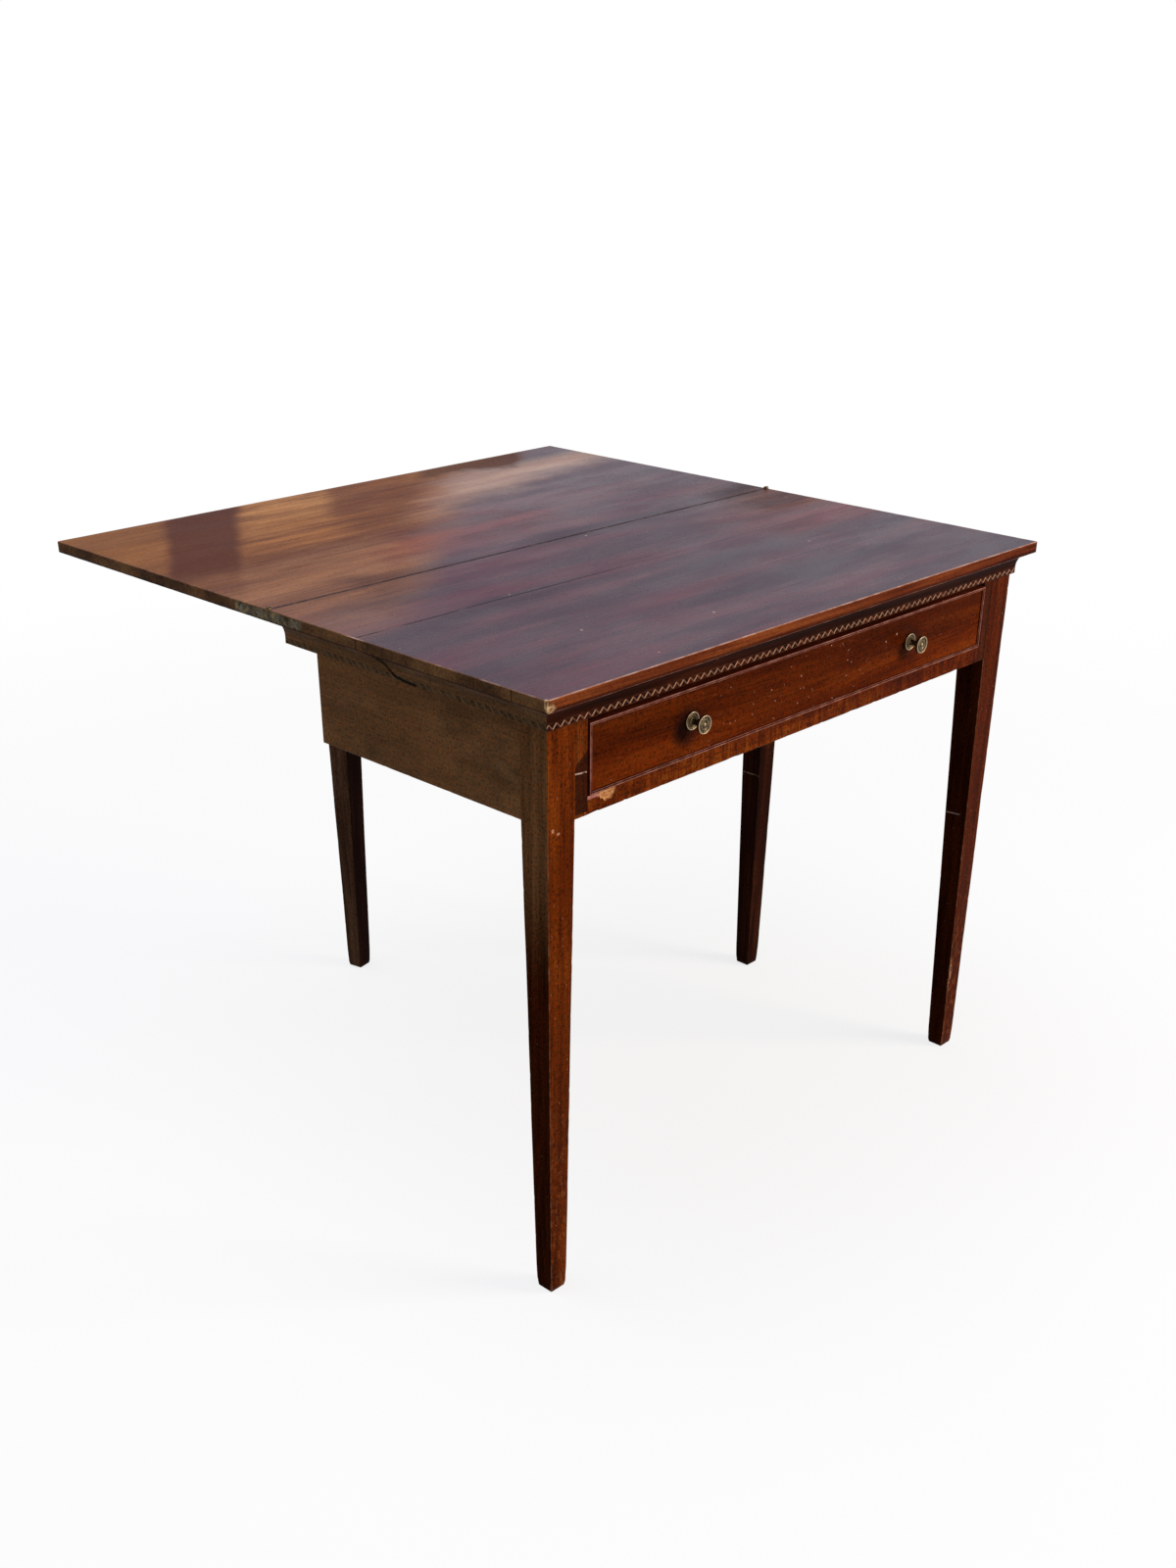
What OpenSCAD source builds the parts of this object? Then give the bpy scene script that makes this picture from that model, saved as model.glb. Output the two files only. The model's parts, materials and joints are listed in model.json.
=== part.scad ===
// Fold-over tea table: two equal leaves on end hinges, one drawer and one swinging gate leg.
// Millimetres, +Z up, +Y to the back. The origin is on the floor under the middle of the open
// top, so the joint between the leaves lies at y = 0. The table is drawn with its top open and
// its gate leg swung out under the folding leaf.

/* [Top] */
// Width of both leaves
top_w = 890; // [780:5:1000]
// Depth of one leaf, front to back
leaf_d = 447; // [420:1:520]
// Height of the open top above the floor
top_h = 745; // [700:1:800]
// Thickness of one leaf
leaf_t = 14; // [13:0.5:20]
// Gap between the two leaves when open
leaf_gap = 0.3; // [0.2:0.1:1]
// Width of the softened arris round each leaf
leaf_arris = 0.8; // [0.4:0.1:2]
// Overhang of the leaf in front of the frame
front_overhang = 22; // [16:1:34]
// Overhang of the leaves beyond each side of the frame
side_overhang = 21; // [16:1:34]
// Distance from the back of the frame to the leaf joint
back_overhang = 25; // [16:1:40]

/* [Legs] */
// Width of each leg where it meets the frame
leg_w = 40; // [36:1:48]
// Width of each foot
foot_w = 25; // [18:1:34]

/* [Frame] */
// Height of the frame under the top
apron_h = 133; // [120:1:160]
// Thickness of the side aprons
apron_t = 20; // [16:1:24]
// Thickness of the rail under the drawer
lower_rail_t = 20.5; // [18:0.5:26]
// Depth of the rail under the drawer, front to back
lower_rail_d = 45; // [36:1:60]
// Thickness of the rail above the drawer
top_rail_t = 26.5; // [22:0.5:34]
// Depth of the rail above the drawer, front to back
top_rail_d = 40; // [30:1:60]
// Width of the upright piece between leg and drawer
stile_w = 18.5; // [14:0.5:24]
// Thickness of those upright pieces, front to back
stile_t = 25; // [20:1:34]
// Thickness of the inner back rail
inner_rail_t = 20; // [16:1:26]
// Length of the tenons of the frame
tenon_l = 20; // [14:1:24]
// Thickness of the tenons of the frame
tenon_t = 9; // [7:0.5:11]
// Shoulder under each apron's tenon
apron_tenon_low = 12; // [8:1:20]
// Shoulder above each apron's tenon
apron_tenon_high = 20; // [16:1:30]
// Shoulder above and under the lower rail's tenon
rail_tenon_edge = 4; // [3:0.5:6]
// Distance that the inner back rail's tails stop inside the apron's face
rail_lap = 6; // [4:0.5:9]
// Clearance of glued joints
joint_clear = 0.1; // [0.05:0.05:0.2]
// Number of dovetails at the end of the inner back rail
rail_tails = 3; // [2:1:4]

/* [Gate leg] */
// Place of the gate leg's pivot to the right of the middle
pivot_x = 52; // [20:1:120]
// Thickness of the fly rail that carries the gate leg
fly_t = 20; // [18:1:24]
// Distance from the back of the frame to the fly rail
fly_setback = 11.5; // [8:0.5:13]
// Gap behind the fly rail when it is closed
gate_gap = 1; // [0.5:0.1:2]
// Distance that the gate leg stands inside the side apron's face
gate_inset = 1; // [0.8:0.1:3]
// Height of the fly rail's lower edge above the frame's
fly_lift = 5; // [2:1:12]
// Shoulder under the tenons of the two hinge rails
gate_tenon_low = 10; // [6:1:18]
// Shoulder above the tenons of the two hinge rails
gate_tenon_high = 14; // [10:1:20]
// Number of knuckles in the wooden hinge
knuckles = 5; // [3:2:7]
// Gap round each knuckle
knuckle_gap = 0.5; // [0.3:0.1:1]
// Radius of the steel pin
gate_pin_r = 3.5; // [2.5:0.1:4.5]
// Radial running clearance of the pin in the fly rail
gate_pin_clear = 0.08; // [0.02:0.01:0.1]
// Gap between the gate and the leaf that it holds up
bearer_gap = 0.3; // [0.2:0.1:1]
// Swing of the gate from closed, as it is drawn
gate_open = 77.5; // [0:0.5:88]

/* [Cornice moulding] */
// Projection of the flat lower band
fascia_out = 4; // [3:0.1:6]
// Projection of the moulding just under the leaf
cornice_out = 9.5; // [7:0.5:14]
// Height of the flat lower band
fascia_h = 8; // [7.5:0.1:12]
// Height of the square edge just under the leaf
fillet_h = 3; // [1:0.5:4]
// Radius of the hollow
cove_r = 24; // [16:1:60]
// Distance from the moulding's back end to the leaf joint
cornice_end = 6; // [3:1:14]
// Height of the rope pattern inlay
rope_h = 6; // [4:0.1:7]
// Thickness of the rope pattern inlay
rope_t = 1; // [0.6:0.1:1.6]

/* [Drawer] */
// Height of the drawer front
drawer_h = 79.5; // [68:0.5:82]
// Depth of the drawer, front to back
drawer_d = 325; // [280:1:330]
// Thickness of the drawer front
drawer_front_t = 22; // [18:0.5:26]
// Thickness of the sides and the back
drawer_side_t = 9; // [8:0.5:12]
// Thickness of the bottom board
drawer_bottom_t = 6; // [5:0.5:8]
// Depth of the grooves that hold the bottom
groove_d = 5; // [3:0.5:6]
// Height of the groove above the drawer's lower edge
groove_lift = 7; // [5:0.5:12]
// Distance that the sides stop below the top of the front
side_drop = 6; // [4:0.5:14]
// Distance that the back stops below the sides
back_drop = 4; // [1:0.5:14]
// Distance that the sides run on behind the back
side_run_on = 6; // [3:0.5:10]
// Gap at each end of the drawer front
drawer_end_gap = 0.8; // [0.4:0.1:2]
// Gap between the drawer and what it slides on
slide_gap = 0.3; // [0.2:0.1:0.6]
// Width of the bead round the drawer front
bead_w = 4.5; // [2.5:0.1:5]
// Depth of the bead's strip in the front
bead_d = 5; // [3:0.5:6]
// Distance that the dovetails stop behind the drawer's face
lap_t = 6.5; // [6.2:0.1:9]
// Number of dovetails at each front corner
drawer_tails = 3; // [2:1:4]
// Width of each drawer runner
runner_w = 42; // [34:1:56]
// Thickness of each drawer runner
runner_t = 18; // [14:0.5:20]
// Height of the guide beside the drawer
guide_h = 25; // [14:1:40]
// Gap above the drawer sides
kicker_gap = 1.2; // [0.6:0.1:3]
// Height of the drawer stops
stop_h = 4.5; // [3:0.5:6]
// Depth of each drawer stop, front to back
stop_d = 15; // [10:1:24]
// Width of each drawer stop
stop_w = 30; // [20:1:60]
// Distance of each drawer stop from the middle
stop_x = 190; // [100:5:280]

/* [Knobs] */
// Distance of each knob from the middle
knob_x = 204; // [120:1:300]
// Height of the knobs above the drawer's lower edge
knob_lift = 41.5; // [30:0.5:48]
// Radius of the knob's disc and of its rose
knob_r = 11; // [9:0.5:14]
// Projection of the knob from the drawer's face
knob_out = 20; // [16:0.5:21]
// Radius of the knob's neck
knob_neck_r = 3.8; // [3:0.1:4.5]
// Thickness of the rose
rose_t = 2.4; // [1.6:0.1:3]
// Radius of the threaded post
post_r = 2.5; // [2:0.1:2.8]
// Width of the square nut
nut_w = 10; // [8:0.5:14]
// Thickness of the square nut
nut_t = 3; // [2:0.5:4]

/* [Leaf hinges] */
// Length of each hinge plate from the leaf joint
plate_l = 62; // [50:1:80]
// Width of each hinge plate
plate_w = 11; // [9.5:0.5:12]
// Thickness of each hinge plate
plate_t = 4.5; // [3.6:0.3:6]
// Distance of the plates below the top surface
plate_drop = 1.2; // [0.8:0.1:1.6]
// Radius of the knuckle discs
disc_r = 3; // [2.6:0.1:3.6]
// Radius of the hinge pins
hinge_pin_r = 1.1; // [0.8:0.1:1.4]
// Radial running clearance of the hinge pins
hinge_pin_clear = 0.06; // [0.02:0.01:0.1]
// Gap round each knuckle disc
disc_gap = 0.25; // [0.2:0.05:0.4]
// Distance of the near screw from the leaf joint
plate_screw_near = 17; // [14:1:24]
// Distance of the far screw from the leaf joint
plate_screw_far = 50; // [38:1:54]
// Radius of the heads of the plate screws
plate_screw_head_r = 3.2; // [2.8:0.1:3.8]
// Length of the plate screws
plate_screw_l = 19; // [14:1:25]

/* [Fixings] */
// Shank radius of the wood screws
screw_r = 2.2; // [1.8:0.1:2.6]
// Head radius of the wood screws
screw_head_r = 4.2; // [3.4:0.1:5]
// Length of screw that bites into the second piece
screw_bite = 9; // [7:0.5:11]
// Distance of the front rail's screws from the middle
rail_screw_x = 240; // [150:5:300]
// Size of the triangular glue blocks
glue_block = 18; // [14:1:19]
// Length of the glue blocks
glue_block_l = 60; // [40:5:80]

/* [Hidden] */
$fn = 48;

// Frame lines
half_w = top_w / 2;
frame_x = half_w - side_overhang;
front_y = -leaf_d + front_overhang;
back_y = -back_overhang;
frame_top = top_h - leaf_t;
apron_z = frame_top - apron_h;
leg_in = frame_x - leg_w;
apron_in = frame_x - apron_t;
leg_back = front_y + leg_w;
rear_leg_front = back_y - leg_w;

// Back of the frame, from the fly rail inwards
pivot_y = back_y - fly_setback - fly_t / 2;
inner_back = pivot_y - fly_t / 2 - gate_gap;
inner_front = inner_back - inner_rail_t;
fly_z = apron_z + fly_lift;
finger_h = (frame_top - fly_z) / knuckles;
shoulder = fly_t / 2 + knuckle_gap;
fixed_pin_clear = 0.05;
pin_head_t = 2;
pin_head_r = gate_pin_r + 2.5;

// Drawer opening and drawer
open_x = leg_in - stile_w;
rail_top = apron_z + lower_rail_t;
top_rail_z = frame_top - top_rail_t;
drawer_x = open_x - drawer_end_gap;
drawer_z = rail_top + slide_gap;
drawer_top = drawer_z + drawer_h;
side_top = drawer_top - side_drop;
side_in = drawer_x - drawer_side_t;
face_back = front_y + drawer_front_t;
drawer_back_y = front_y + drawer_d;
bottom_z = drawer_z + groove_lift;
kicker_z = side_top + kicker_gap;
tail_slope = 0.17;

// Tenons and tails start this far inside their own board
root_in = 1;

// Housing of the runners in the inner back rail
runner_housing = 6;

// Moulding: the hollow is an arc from the band's upper edge to the square edge
cornice_z = top_rail_z;
cove_z0 = cornice_z + fascia_h;
cove_z1 = frame_top - fillet_h;
cove_chord = norm([cornice_out - fascia_out, cove_z1 - cove_z0]);
cove_dir = [cornice_out - fascia_out, cove_z1 - cove_z0] / cove_chord;
cove_mid = [(fascia_out + cornice_out) / 2, (cove_z0 + cove_z1) / 2];
cove_back = sqrt(cove_r * cove_r - cove_chord * cove_chord / 4);
cove_centre = cove_mid + cove_back * [cove_dir[1], -cove_dir[0]];
rope_z = cornice_z + (fascia_h - rope_h) / 2;

// Leaf hinges
hinge_lift = leaf_gap / 2;
hinge_z = top_h + hinge_lift;
plate_z1 = top_h - plate_drop;
plate_z0 = plate_z1 - plate_w;
plate_z = (plate_z0 + plate_z1) / 2;
layer = plate_t / 3;
layer_clear = 0.05;
plate_screw_r = plate_screw_head_r / 2;
plate_screws = [plate_screw_near, plate_screw_far];
pocket_clear = 0.1;
hole_clear = 0.05;

far = 2000;
mahogany = "#6b2f16";
mahogany_side = "#5a4128";
oak = "#a07a4c";
pine = "#b98f5c";
beech = "#b58a5a";
brass = "#8f7d4e";
steel = "#77767a";

// Shared shapes

// A box from its lowest to its highest corner
module block(a, b) { translate(a) cube(b - a); }

// The children and their mirror image across the table's middle
module both_sides() {
    children();
    mirror([1, 0, 0]) children();
}

// A board outline in Y and Z, carried along x from x0 to x1
module along_x(x0, x1) {
    translate([x0, 0, 0]) rotate([90, 0, 90]) linear_extrude(x1 - x0) children();
}

// A board outline in X and Z, carried along y from y0 to y1
module along_y(y0, y1) {
    translate([0, y1, 0]) rotate([90, 0, 0]) linear_extrude(y1 - y0) children();
}

// One dovetail that grows along +x from x = 0, centred on y = 0
module tail_2d(length, root, grow = 0) {
    flare = length * tail_slope;
    back = grow > 0 ? grow : root_in;
    polygon([
        [-back, -root / 2 - grow], [0, -root / 2 - grow],
        [length + grow, -root / 2 - flare - grow], [length + grow, root / 2 + flare + grow],
        [0, root / 2 + grow], [-back, root / 2 + grow]
    ]);
}

// Countersunk slotted wood screw, its head's face at z = 0 and its point down
module wood_screw(length, r, head_r, turn = 0) {
    difference() {
        rotate_extrude() polygon([
            [0, 0], [head_r, 0], [r, r - head_r], [r, 3 * r - length], [0, -length]
        ]);
        rotate(turn) translate([0, 0, 0.1]) cube([3 * head_r, 0.28 * head_r, 0.7 * r], center = true);
    }
}

// Hole for that screw
module screw_hole(length, r, head_r) {
    g = hole_clear;
    rotate_extrude() polygon([
        [0, 1], [head_r + g, 1], [head_r + g, 0], [r + g, r - head_r - g],
        [r + g, 3 * r - length - g], [0, -length - 2 * g]
    ]);
}

// The swung gate: turns what is drawn closed about the pivot
module gate_swung() {
    translate([pivot_x, pivot_y, 0]) rotate(-gate_open) translate([-pivot_x, -pivot_y, 0]) children();
}

// Leaves and their hinges

// A leaf as the fixed one lies, with its outer arrises softened
module leaf_blank() {
    a = leaf_arris;
    y0 = -leaf_d;
    y1 = -leaf_gap / 2;
    difference() {
        intersection() {
            along_x(-half_w, half_w) polygon([
                [y0 + a, frame_top], [y1, frame_top], [y1, top_h],
                [y0 + a, top_h], [y0, top_h - a], [y0, frame_top + a]
            ]);
            along_y(y0 - 1, 0) polygon([
                [-half_w + a, frame_top], [half_w - a, frame_top], [half_w, frame_top + a],
                [half_w, top_h - a], [half_w - a, top_h], [-half_w + a, top_h],
                [-half_w, top_h - a], [-half_w, frame_top + a]
            ]);
        }
        both_sides() hinge_pocket();
    }
}

// Room for the left hinge plate, its knuckle and its screws in a leaf's end
module hinge_pocket() {
    c = pocket_clear;
    block([-half_w - 1, -plate_l - c, plate_z0 - c], [-half_w + plate_t + c, 1, plate_z1 + c]);
    translate([-half_w - 1, 0, hinge_z]) rotate([0, 90, 0])
        cylinder(r = disc_r + 2 * disc_gap, h = plate_t + c + 1);
    for (d = plate_screws)
        translate([-half_w, -d, plate_z]) rotate([0, -90, 0])
            screw_hole(plate_screw_l, plate_screw_r, plate_screw_head_r);
}

module fixed_leaf() {
    color(mahogany) difference() {
        leaf_blank();
        top_screw_holes();
    }
}

module folding_leaf() {
    color(mahogany) mirror([0, 1, 0]) leaf_blank();
}

// Plain plate at the left end, drilled for its screws, as it lies on the fixed leaf
module plate_blank() {
    difference() {
        block([-half_w, -plate_l, plate_z0], [-half_w + plate_t, -leaf_gap / 2, plate_z1]);
        for (d = plate_screws)
            translate([-half_w, -d, plate_z]) rotate([0, -90, 0])
                screw_hole(plate_screw_l, plate_screw_r, plate_screw_head_r);
    }
}

// Disc about the hinge line, from x0 to x1 inside the left end's face
module hinge_disc(r, x0, x1) {
    translate([-half_w + x0, 0, hinge_z]) rotate([0, 90, 0]) cylinder(r = r, h = x1 - x0);
}

// The fixed plate carries one middle disc
module fixed_plate() {
    difference() {
        union() {
            difference() {
                plate_blank();
                hinge_disc(disc_r + disc_gap, -1, layer + layer_clear);
                hinge_disc(disc_r + disc_gap, 2 * layer - layer_clear, plate_t + 1);
            }
            hinge_disc(disc_r, layer + layer_clear, 2 * layer - layer_clear);
        }
        hinge_disc(hinge_pin_r + 0.02, -1, plate_t + 1);
    }
}

// The flap's plate carries the two outer discs
module flap_plate() {
    difference() {
        union() {
            mirror([0, 1, 0]) plate_blank();
            hinge_disc(disc_r, 0, layer);
            hinge_disc(disc_r, 2 * layer, plate_t);
        }
        hinge_disc(disc_r + disc_gap, layer, 2 * layer);
        hinge_disc(hinge_pin_r + hinge_pin_clear, -1, plate_t + 1);
    }
}

module left_hinge_fixed_plate() { color(brass) fixed_plate(); }
module right_hinge_fixed_plate() { color(brass) mirror([1, 0, 0]) fixed_plate(); }
module left_hinge_flap_plate() { color(brass) flap_plate(); }
module right_hinge_flap_plate() { color(brass) mirror([1, 0, 0]) flap_plate(); }
module leaf_hinge_pins() { color(brass) both_sides() hinge_disc(hinge_pin_r, 0, plate_t); }

module plate_screw_set() {
    both_sides() for (i = [0, 1])
        translate([-half_w, -plate_screws[i], plate_z]) rotate([0, -90, 0])
            wood_screw(plate_screw_l, plate_screw_r, plate_screw_head_r, 25 + 70 * i);
}

module fixed_leaf_hinge_screws() { color(brass) plate_screw_set(); }
module folding_leaf_hinge_screws() { color(brass) mirror([0, 1, 0]) plate_screw_set(); }

// Cornice moulding and rope inlay

module cornice_2d() {
    difference() {
        polygon([
            [0, cornice_z], [fascia_out, cornice_z], [fascia_out, cove_z0], [cornice_out, cove_z1],
            [cornice_out, frame_top], [0, frame_top]
        ]);
        translate(cove_centre) circle(r = cove_r, $fn = 96);
        translate([fascia_out - rope_t, rope_z]) square([rope_t + 1, rope_h]);
    }
}

module rope_2d() {
    translate([fascia_out - rope_t, rope_z]) square([rope_t, rope_h]);
}

// A profile along the front, mitred at both corners
module front_run() {
    reach = frame_x + cornice_out;
    intersection() {
        translate([reach, front_y, 0]) rotate([90, 0, -90]) linear_extrude(2 * reach) children();
        linear_extrude(far) polygon([
            [-frame_x, front_y], [frame_x, front_y],
            [frame_x + 2 * cornice_out, front_y - 2 * cornice_out],
            [-frame_x - 2 * cornice_out, front_y - 2 * cornice_out]
        ]);
    }
}

// A profile along the left side, mitred at the front corner
module left_run() {
    intersection() {
        translate([-frame_x, -cornice_end, 0]) rotate([90, 0, 0])
            linear_extrude(leaf_d - cornice_end) mirror([1, 0]) children();
        linear_extrude(far) polygon([
            [-frame_x, front_y], [-frame_x, -cornice_end], [-frame_x - 2 * cornice_out, -cornice_end],
            [-frame_x - 2 * cornice_out, front_y - 2 * cornice_out]
        ]);
    }
}

module front_cornice() { color(mahogany) front_run() cornice_2d(); }
module left_cornice() { color(mahogany_side) left_run() cornice_2d(); }
module right_cornice() { color(mahogany_side) mirror([1, 0, 0]) left_run() cornice_2d(); }
module front_rope_inlay() { color("#c58a5c") front_run() rope_2d(); }
module left_rope_inlay() { color("#c58a5c") left_run() rope_2d(); }
module right_rope_inlay() { color("#c58a5c") mirror([1, 0, 0]) left_run() rope_2d(); }

// Legs

// A leg with its outer corner on the z axis, tapered on its two inner faces
module leg_blank(top = frame_top) {
    outline = [[0, 0], [foot_w, 0], [leg_w, apron_z], [leg_w, top], [0, top]];
    intersection() {
        along_y(0, leg_w) polygon(outline);
        along_x(0, leg_w) polygon(outline);
    }
}

// The left front leg, with every mortise that a front leg has
module front_leg_blank() {
    difference() {
        translate([-frame_x, front_y, 0]) leg_blank();
        apron_front_tenon(joint_clear);
        lower_rail_tenon(joint_clear);
        top_rail_tail(joint_clear);
    }
}

module front_left_leg() { color(mahogany) front_leg_blank(); }
module front_right_leg() { color(mahogany) mirror([1, 0, 0]) front_leg_blank(); }

module rear_right_leg() {
    color(mahogany) difference() {
        translate([frame_x, back_y, 0]) mirror([1, 0, 0]) mirror([0, 1, 0]) leg_blank();
        apron_rear_tenon(joint_clear);
        hinge_rail_tenon(joint_clear);
    }
}

// The gate leg stands inside the cornice, and its top is rebated to lap the end of the apron
module gate_leg() {
    x0 = -frame_x + gate_inset;
    color(mahogany) gate_swung() difference() {
        translate([x0, back_y, 0]) mirror([0, 1, 0]) leg_blank(frame_top - bearer_gap);
        block([x0 - 1, rear_leg_front - 1, apron_z - gate_gap],
              [x0 + leg_w + 1, pivot_y - fly_t / 2, frame_top + 1]);
        fly_tenon(joint_clear);
    }
}

// Aprons and rails. Each tenon is a shape of its own, which the mortise grows by a clearance

module apron_tenon(y0, y1, grow) {
    x = (frame_x + apron_in) / 2;
    block([x - tenon_t / 2 - grow, y0 - grow, apron_z + apron_tenon_low - grow],
          [x + tenon_t / 2 + grow, y1 + grow, frame_top - apron_tenon_high + grow]);
}

// Tenon of the left apron in the left front leg
module apron_front_tenon(grow = 0) {
    mirror([1, 0, 0]) apron_tenon(leg_back - tenon_l, leg_back + root_in, grow);
}

// Tenon of the right apron in the rear leg
module apron_rear_tenon(grow = 0) {
    apron_tenon(rear_leg_front - root_in, rear_leg_front + tenon_l, grow);
}

// Tenon of the lower rail in the left front leg, behind the upright piece
module lower_rail_tenon(grow = 0) {
    y = front_y + stile_t / 2;
    e = rail_tenon_edge;
    block([-leg_in - 0.9 * tenon_l - grow, y - tenon_t / 2 - grow, apron_z + e - grow],
          [-open_x + root_in + grow, y + tenon_t / 2 + grow, rail_top - e + grow]);
}

// Dovetail of the top rail, let into the top of the left front leg
module top_rail_tail(grow = 0) {
    depth = top_rail_t / 2;
    translate([-leg_in, front_y + leg_w / 2, frame_top - depth - grow]) mirror([1, 0, 0])
        linear_extrude(depth + 2 * grow) tail_2d(0.8 * tenon_l, leg_w / 3, grow);
}

// Tenon of the fixed hinge rail in the rear leg
module hinge_rail_tenon(grow = 0) {
    y = pivot_y - tenon_t / 2;
    block([leg_in - root_in - grow, y - grow, fly_z + gate_tenon_low - grow],
          [leg_in + tenon_l + grow, y + tenon_t + grow, frame_top - gate_tenon_high + grow]);
}

// Tenon of the fly rail in the gate leg, closed
module fly_tenon(grow = 0) {
    x = -leg_in + gate_inset;
    y = pivot_y - tenon_t / 2;
    block([x - tenon_l - grow, y - grow, fly_z + gate_tenon_low - grow],
          [x + root_in + grow, y + tenon_t + grow, frame_top - gate_tenon_high + grow]);
}

// Dovetails of the inner back rail in the left apron
module inner_rail_tails(grow = 0) {
    pitch = (frame_top - apron_z) / rail_tails;
    along_y(inner_front, inner_back + (grow > 0 ? 1 : 0)) for (i = [0:rail_tails - 1])
        translate([-apron_in, apron_z + (i + 0.5) * pitch]) mirror([1, 0])
            tail_2d(apron_t - rail_lap, pitch / 2.4, grow);
}

module left_side_apron() {
    color(mahogany_side) {
        difference() {
            union() {
                block([-frame_x, leg_back, apron_z], [-apron_in, inner_back, frame_top]);
                apron_front_tenon();
            }
            inner_rail_tails(joint_clear);
        }
    }
}

module right_side_apron() {
    color(mahogany_side) {
        block([apron_in, leg_back, apron_z], [frame_x, rear_leg_front, frame_top]);
        mirror([1, 0, 0]) apron_front_tenon();
        apron_rear_tenon();
    }
}

module front_top_rail() {
    color(mahogany) difference() {
        union() {
            block([-leg_in, front_y, top_rail_z], [leg_in, front_y + top_rail_d, frame_top]);
            both_sides() top_rail_tail();
        }
        top_screw_holes();
    }
}

module front_lower_rail() {
    color(mahogany) difference() {
        union() {
            block([-open_x, front_y, apron_z], [open_x, front_y + lower_rail_d, rail_top]);
            both_sides() lower_rail_tenon();
        }
        both_sides() runner_tenon(joint_clear);
    }
}

// Upright piece between the left leg and the drawer, cut round the rail's tenon
module drawer_stile() {
    difference() {
        block([-leg_in, front_y, apron_z], [-open_x, front_y + stile_t, top_rail_z]);
        lower_rail_tenon(joint_clear);
    }
}

module left_drawer_stile() { color(mahogany) drawer_stile(); }
module right_drawer_stile() { color(mahogany) mirror([1, 0, 0]) drawer_stile(); }

// The inner back rail is dovetailed into the left apron and notched round the rear leg
module inner_back_rail() {
    color(pine) difference() {
        union() {
            block([-apron_in, inner_front, apron_z], [apron_in, inner_back, frame_top]);
            inner_rail_tails();
        }
        block([leg_in, rear_leg_front, apron_z - 1], [apron_in + 1, inner_back + 1, frame_top + 1]);
        both_sides() runner_solid(joint_clear);
        hinge_rail_screw_places() screw_hole(hinge_rail_screw_l, screw_r, screw_head_r);
    }
}

// Wooden knuckle joint. finger(i) is the height of one knuckle; even ones belong to the frame
module fingers(first, grow) {
    for (i = [first:2:knuckles - 1])
        translate([0, 0, fly_z + i * finger_h - grow])
            linear_extrude(finger_h + 2 * grow) children();
}

module finger_2d(reach) {
    circle(r = fly_t / 2);
    translate([min(0, reach), -fly_t / 2]) square([abs(reach), fly_t]);
}

module fixed_hinge_rail() {
    color(beech) difference() {
        union() {
            block([pivot_x + shoulder, inner_back, fly_z], [leg_in, pivot_y + fly_t / 2, frame_top]);
            translate([pivot_x, pivot_y, 0]) fingers(0, 0) finger_2d(shoulder + 1);
            hinge_rail_tenon();
        }
        translate([pivot_x, pivot_y, 0]) cylinder(r = gate_pin_r + fixed_pin_clear, h = far);
        hinge_rail_screw_places() screw_hole(hinge_rail_screw_l, screw_r, screw_head_r);
    }
}

module fly_rail() {
    top = frame_top - bearer_gap;
    color(beech) gate_swung() difference() {
        union() {
            block([-leg_in + gate_inset, pivot_y - fly_t / 2, fly_z],
                  [pivot_x - shoulder, pivot_y + fly_t / 2, top]);
            translate([pivot_x, pivot_y, 0]) fingers(1, -knuckle_gap / 2) finger_2d(-shoulder - 1);
            fly_tenon();
        }
        translate([pivot_x, pivot_y, 0]) cylinder(r = gate_pin_r + gate_pin_clear, h = far);
    }
}

module gate_hinge_pin() {
    color(steel) translate([pivot_x, pivot_y, fly_z]) {
        cylinder(r = gate_pin_r, h = frame_top - fly_z - 2);
        translate([0, 0, -pin_head_t]) cylinder(r = pin_head_r, h = pin_head_t);
    }
}

// Drawer runners, guides, kickers and stops

// Tenon of the left runner in the lower rail
module runner_tenon(grow = 0) {
    y = front_y + lower_rail_d;
    z = rail_top - runner_t / 2;
    half = 0.22 * runner_t;
    e = rail_tenon_edge;
    block([-open_x + e - grow, y - tenon_l / 2 - grow, z - half - grow],
          [-leg_in + runner_w - e + grow, y + root_in + grow, z + half + grow]);
}

module runner_solid(grow = 0) {
    block([-leg_in - grow, front_y + lower_rail_d, rail_top - runner_t - grow],
          [-leg_in + runner_w + grow, inner_front + runner_housing + grow, rail_top + grow]);
}

module drawer_runner() {
    runner_solid();
    runner_tenon();
}

module drawer_guide() {
    block([-leg_in, front_y + stile_t, rail_top], [-open_x, inner_front, rail_top + guide_h]);
}

module kicker() {
    difference() {
        block([-leg_in, front_y + top_rail_d, kicker_z], [-side_in, inner_front, frame_top]);
        top_screw_holes();
    }
}

module left_drawer_runner() { color(oak) drawer_runner(); }
module right_drawer_runner() { color(oak) mirror([1, 0, 0]) drawer_runner(); }
module left_drawer_guide() { color(pine) drawer_guide(); }
module right_drawer_guide() { color(pine) mirror([1, 0, 0]) drawer_guide(); }
module left_kicker() { color(pine) kicker(); }
module right_kicker() { color(pine) mirror([1, 0, 0]) kicker(); }

module drawer_stops() {
    y = face_back + slide_gap;
    color(oak) both_sides()
        block([stop_x - stop_w / 2, y, rail_top], [stop_x + stop_w / 2, y + stop_d, rail_top + stop_h]);
}

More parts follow.
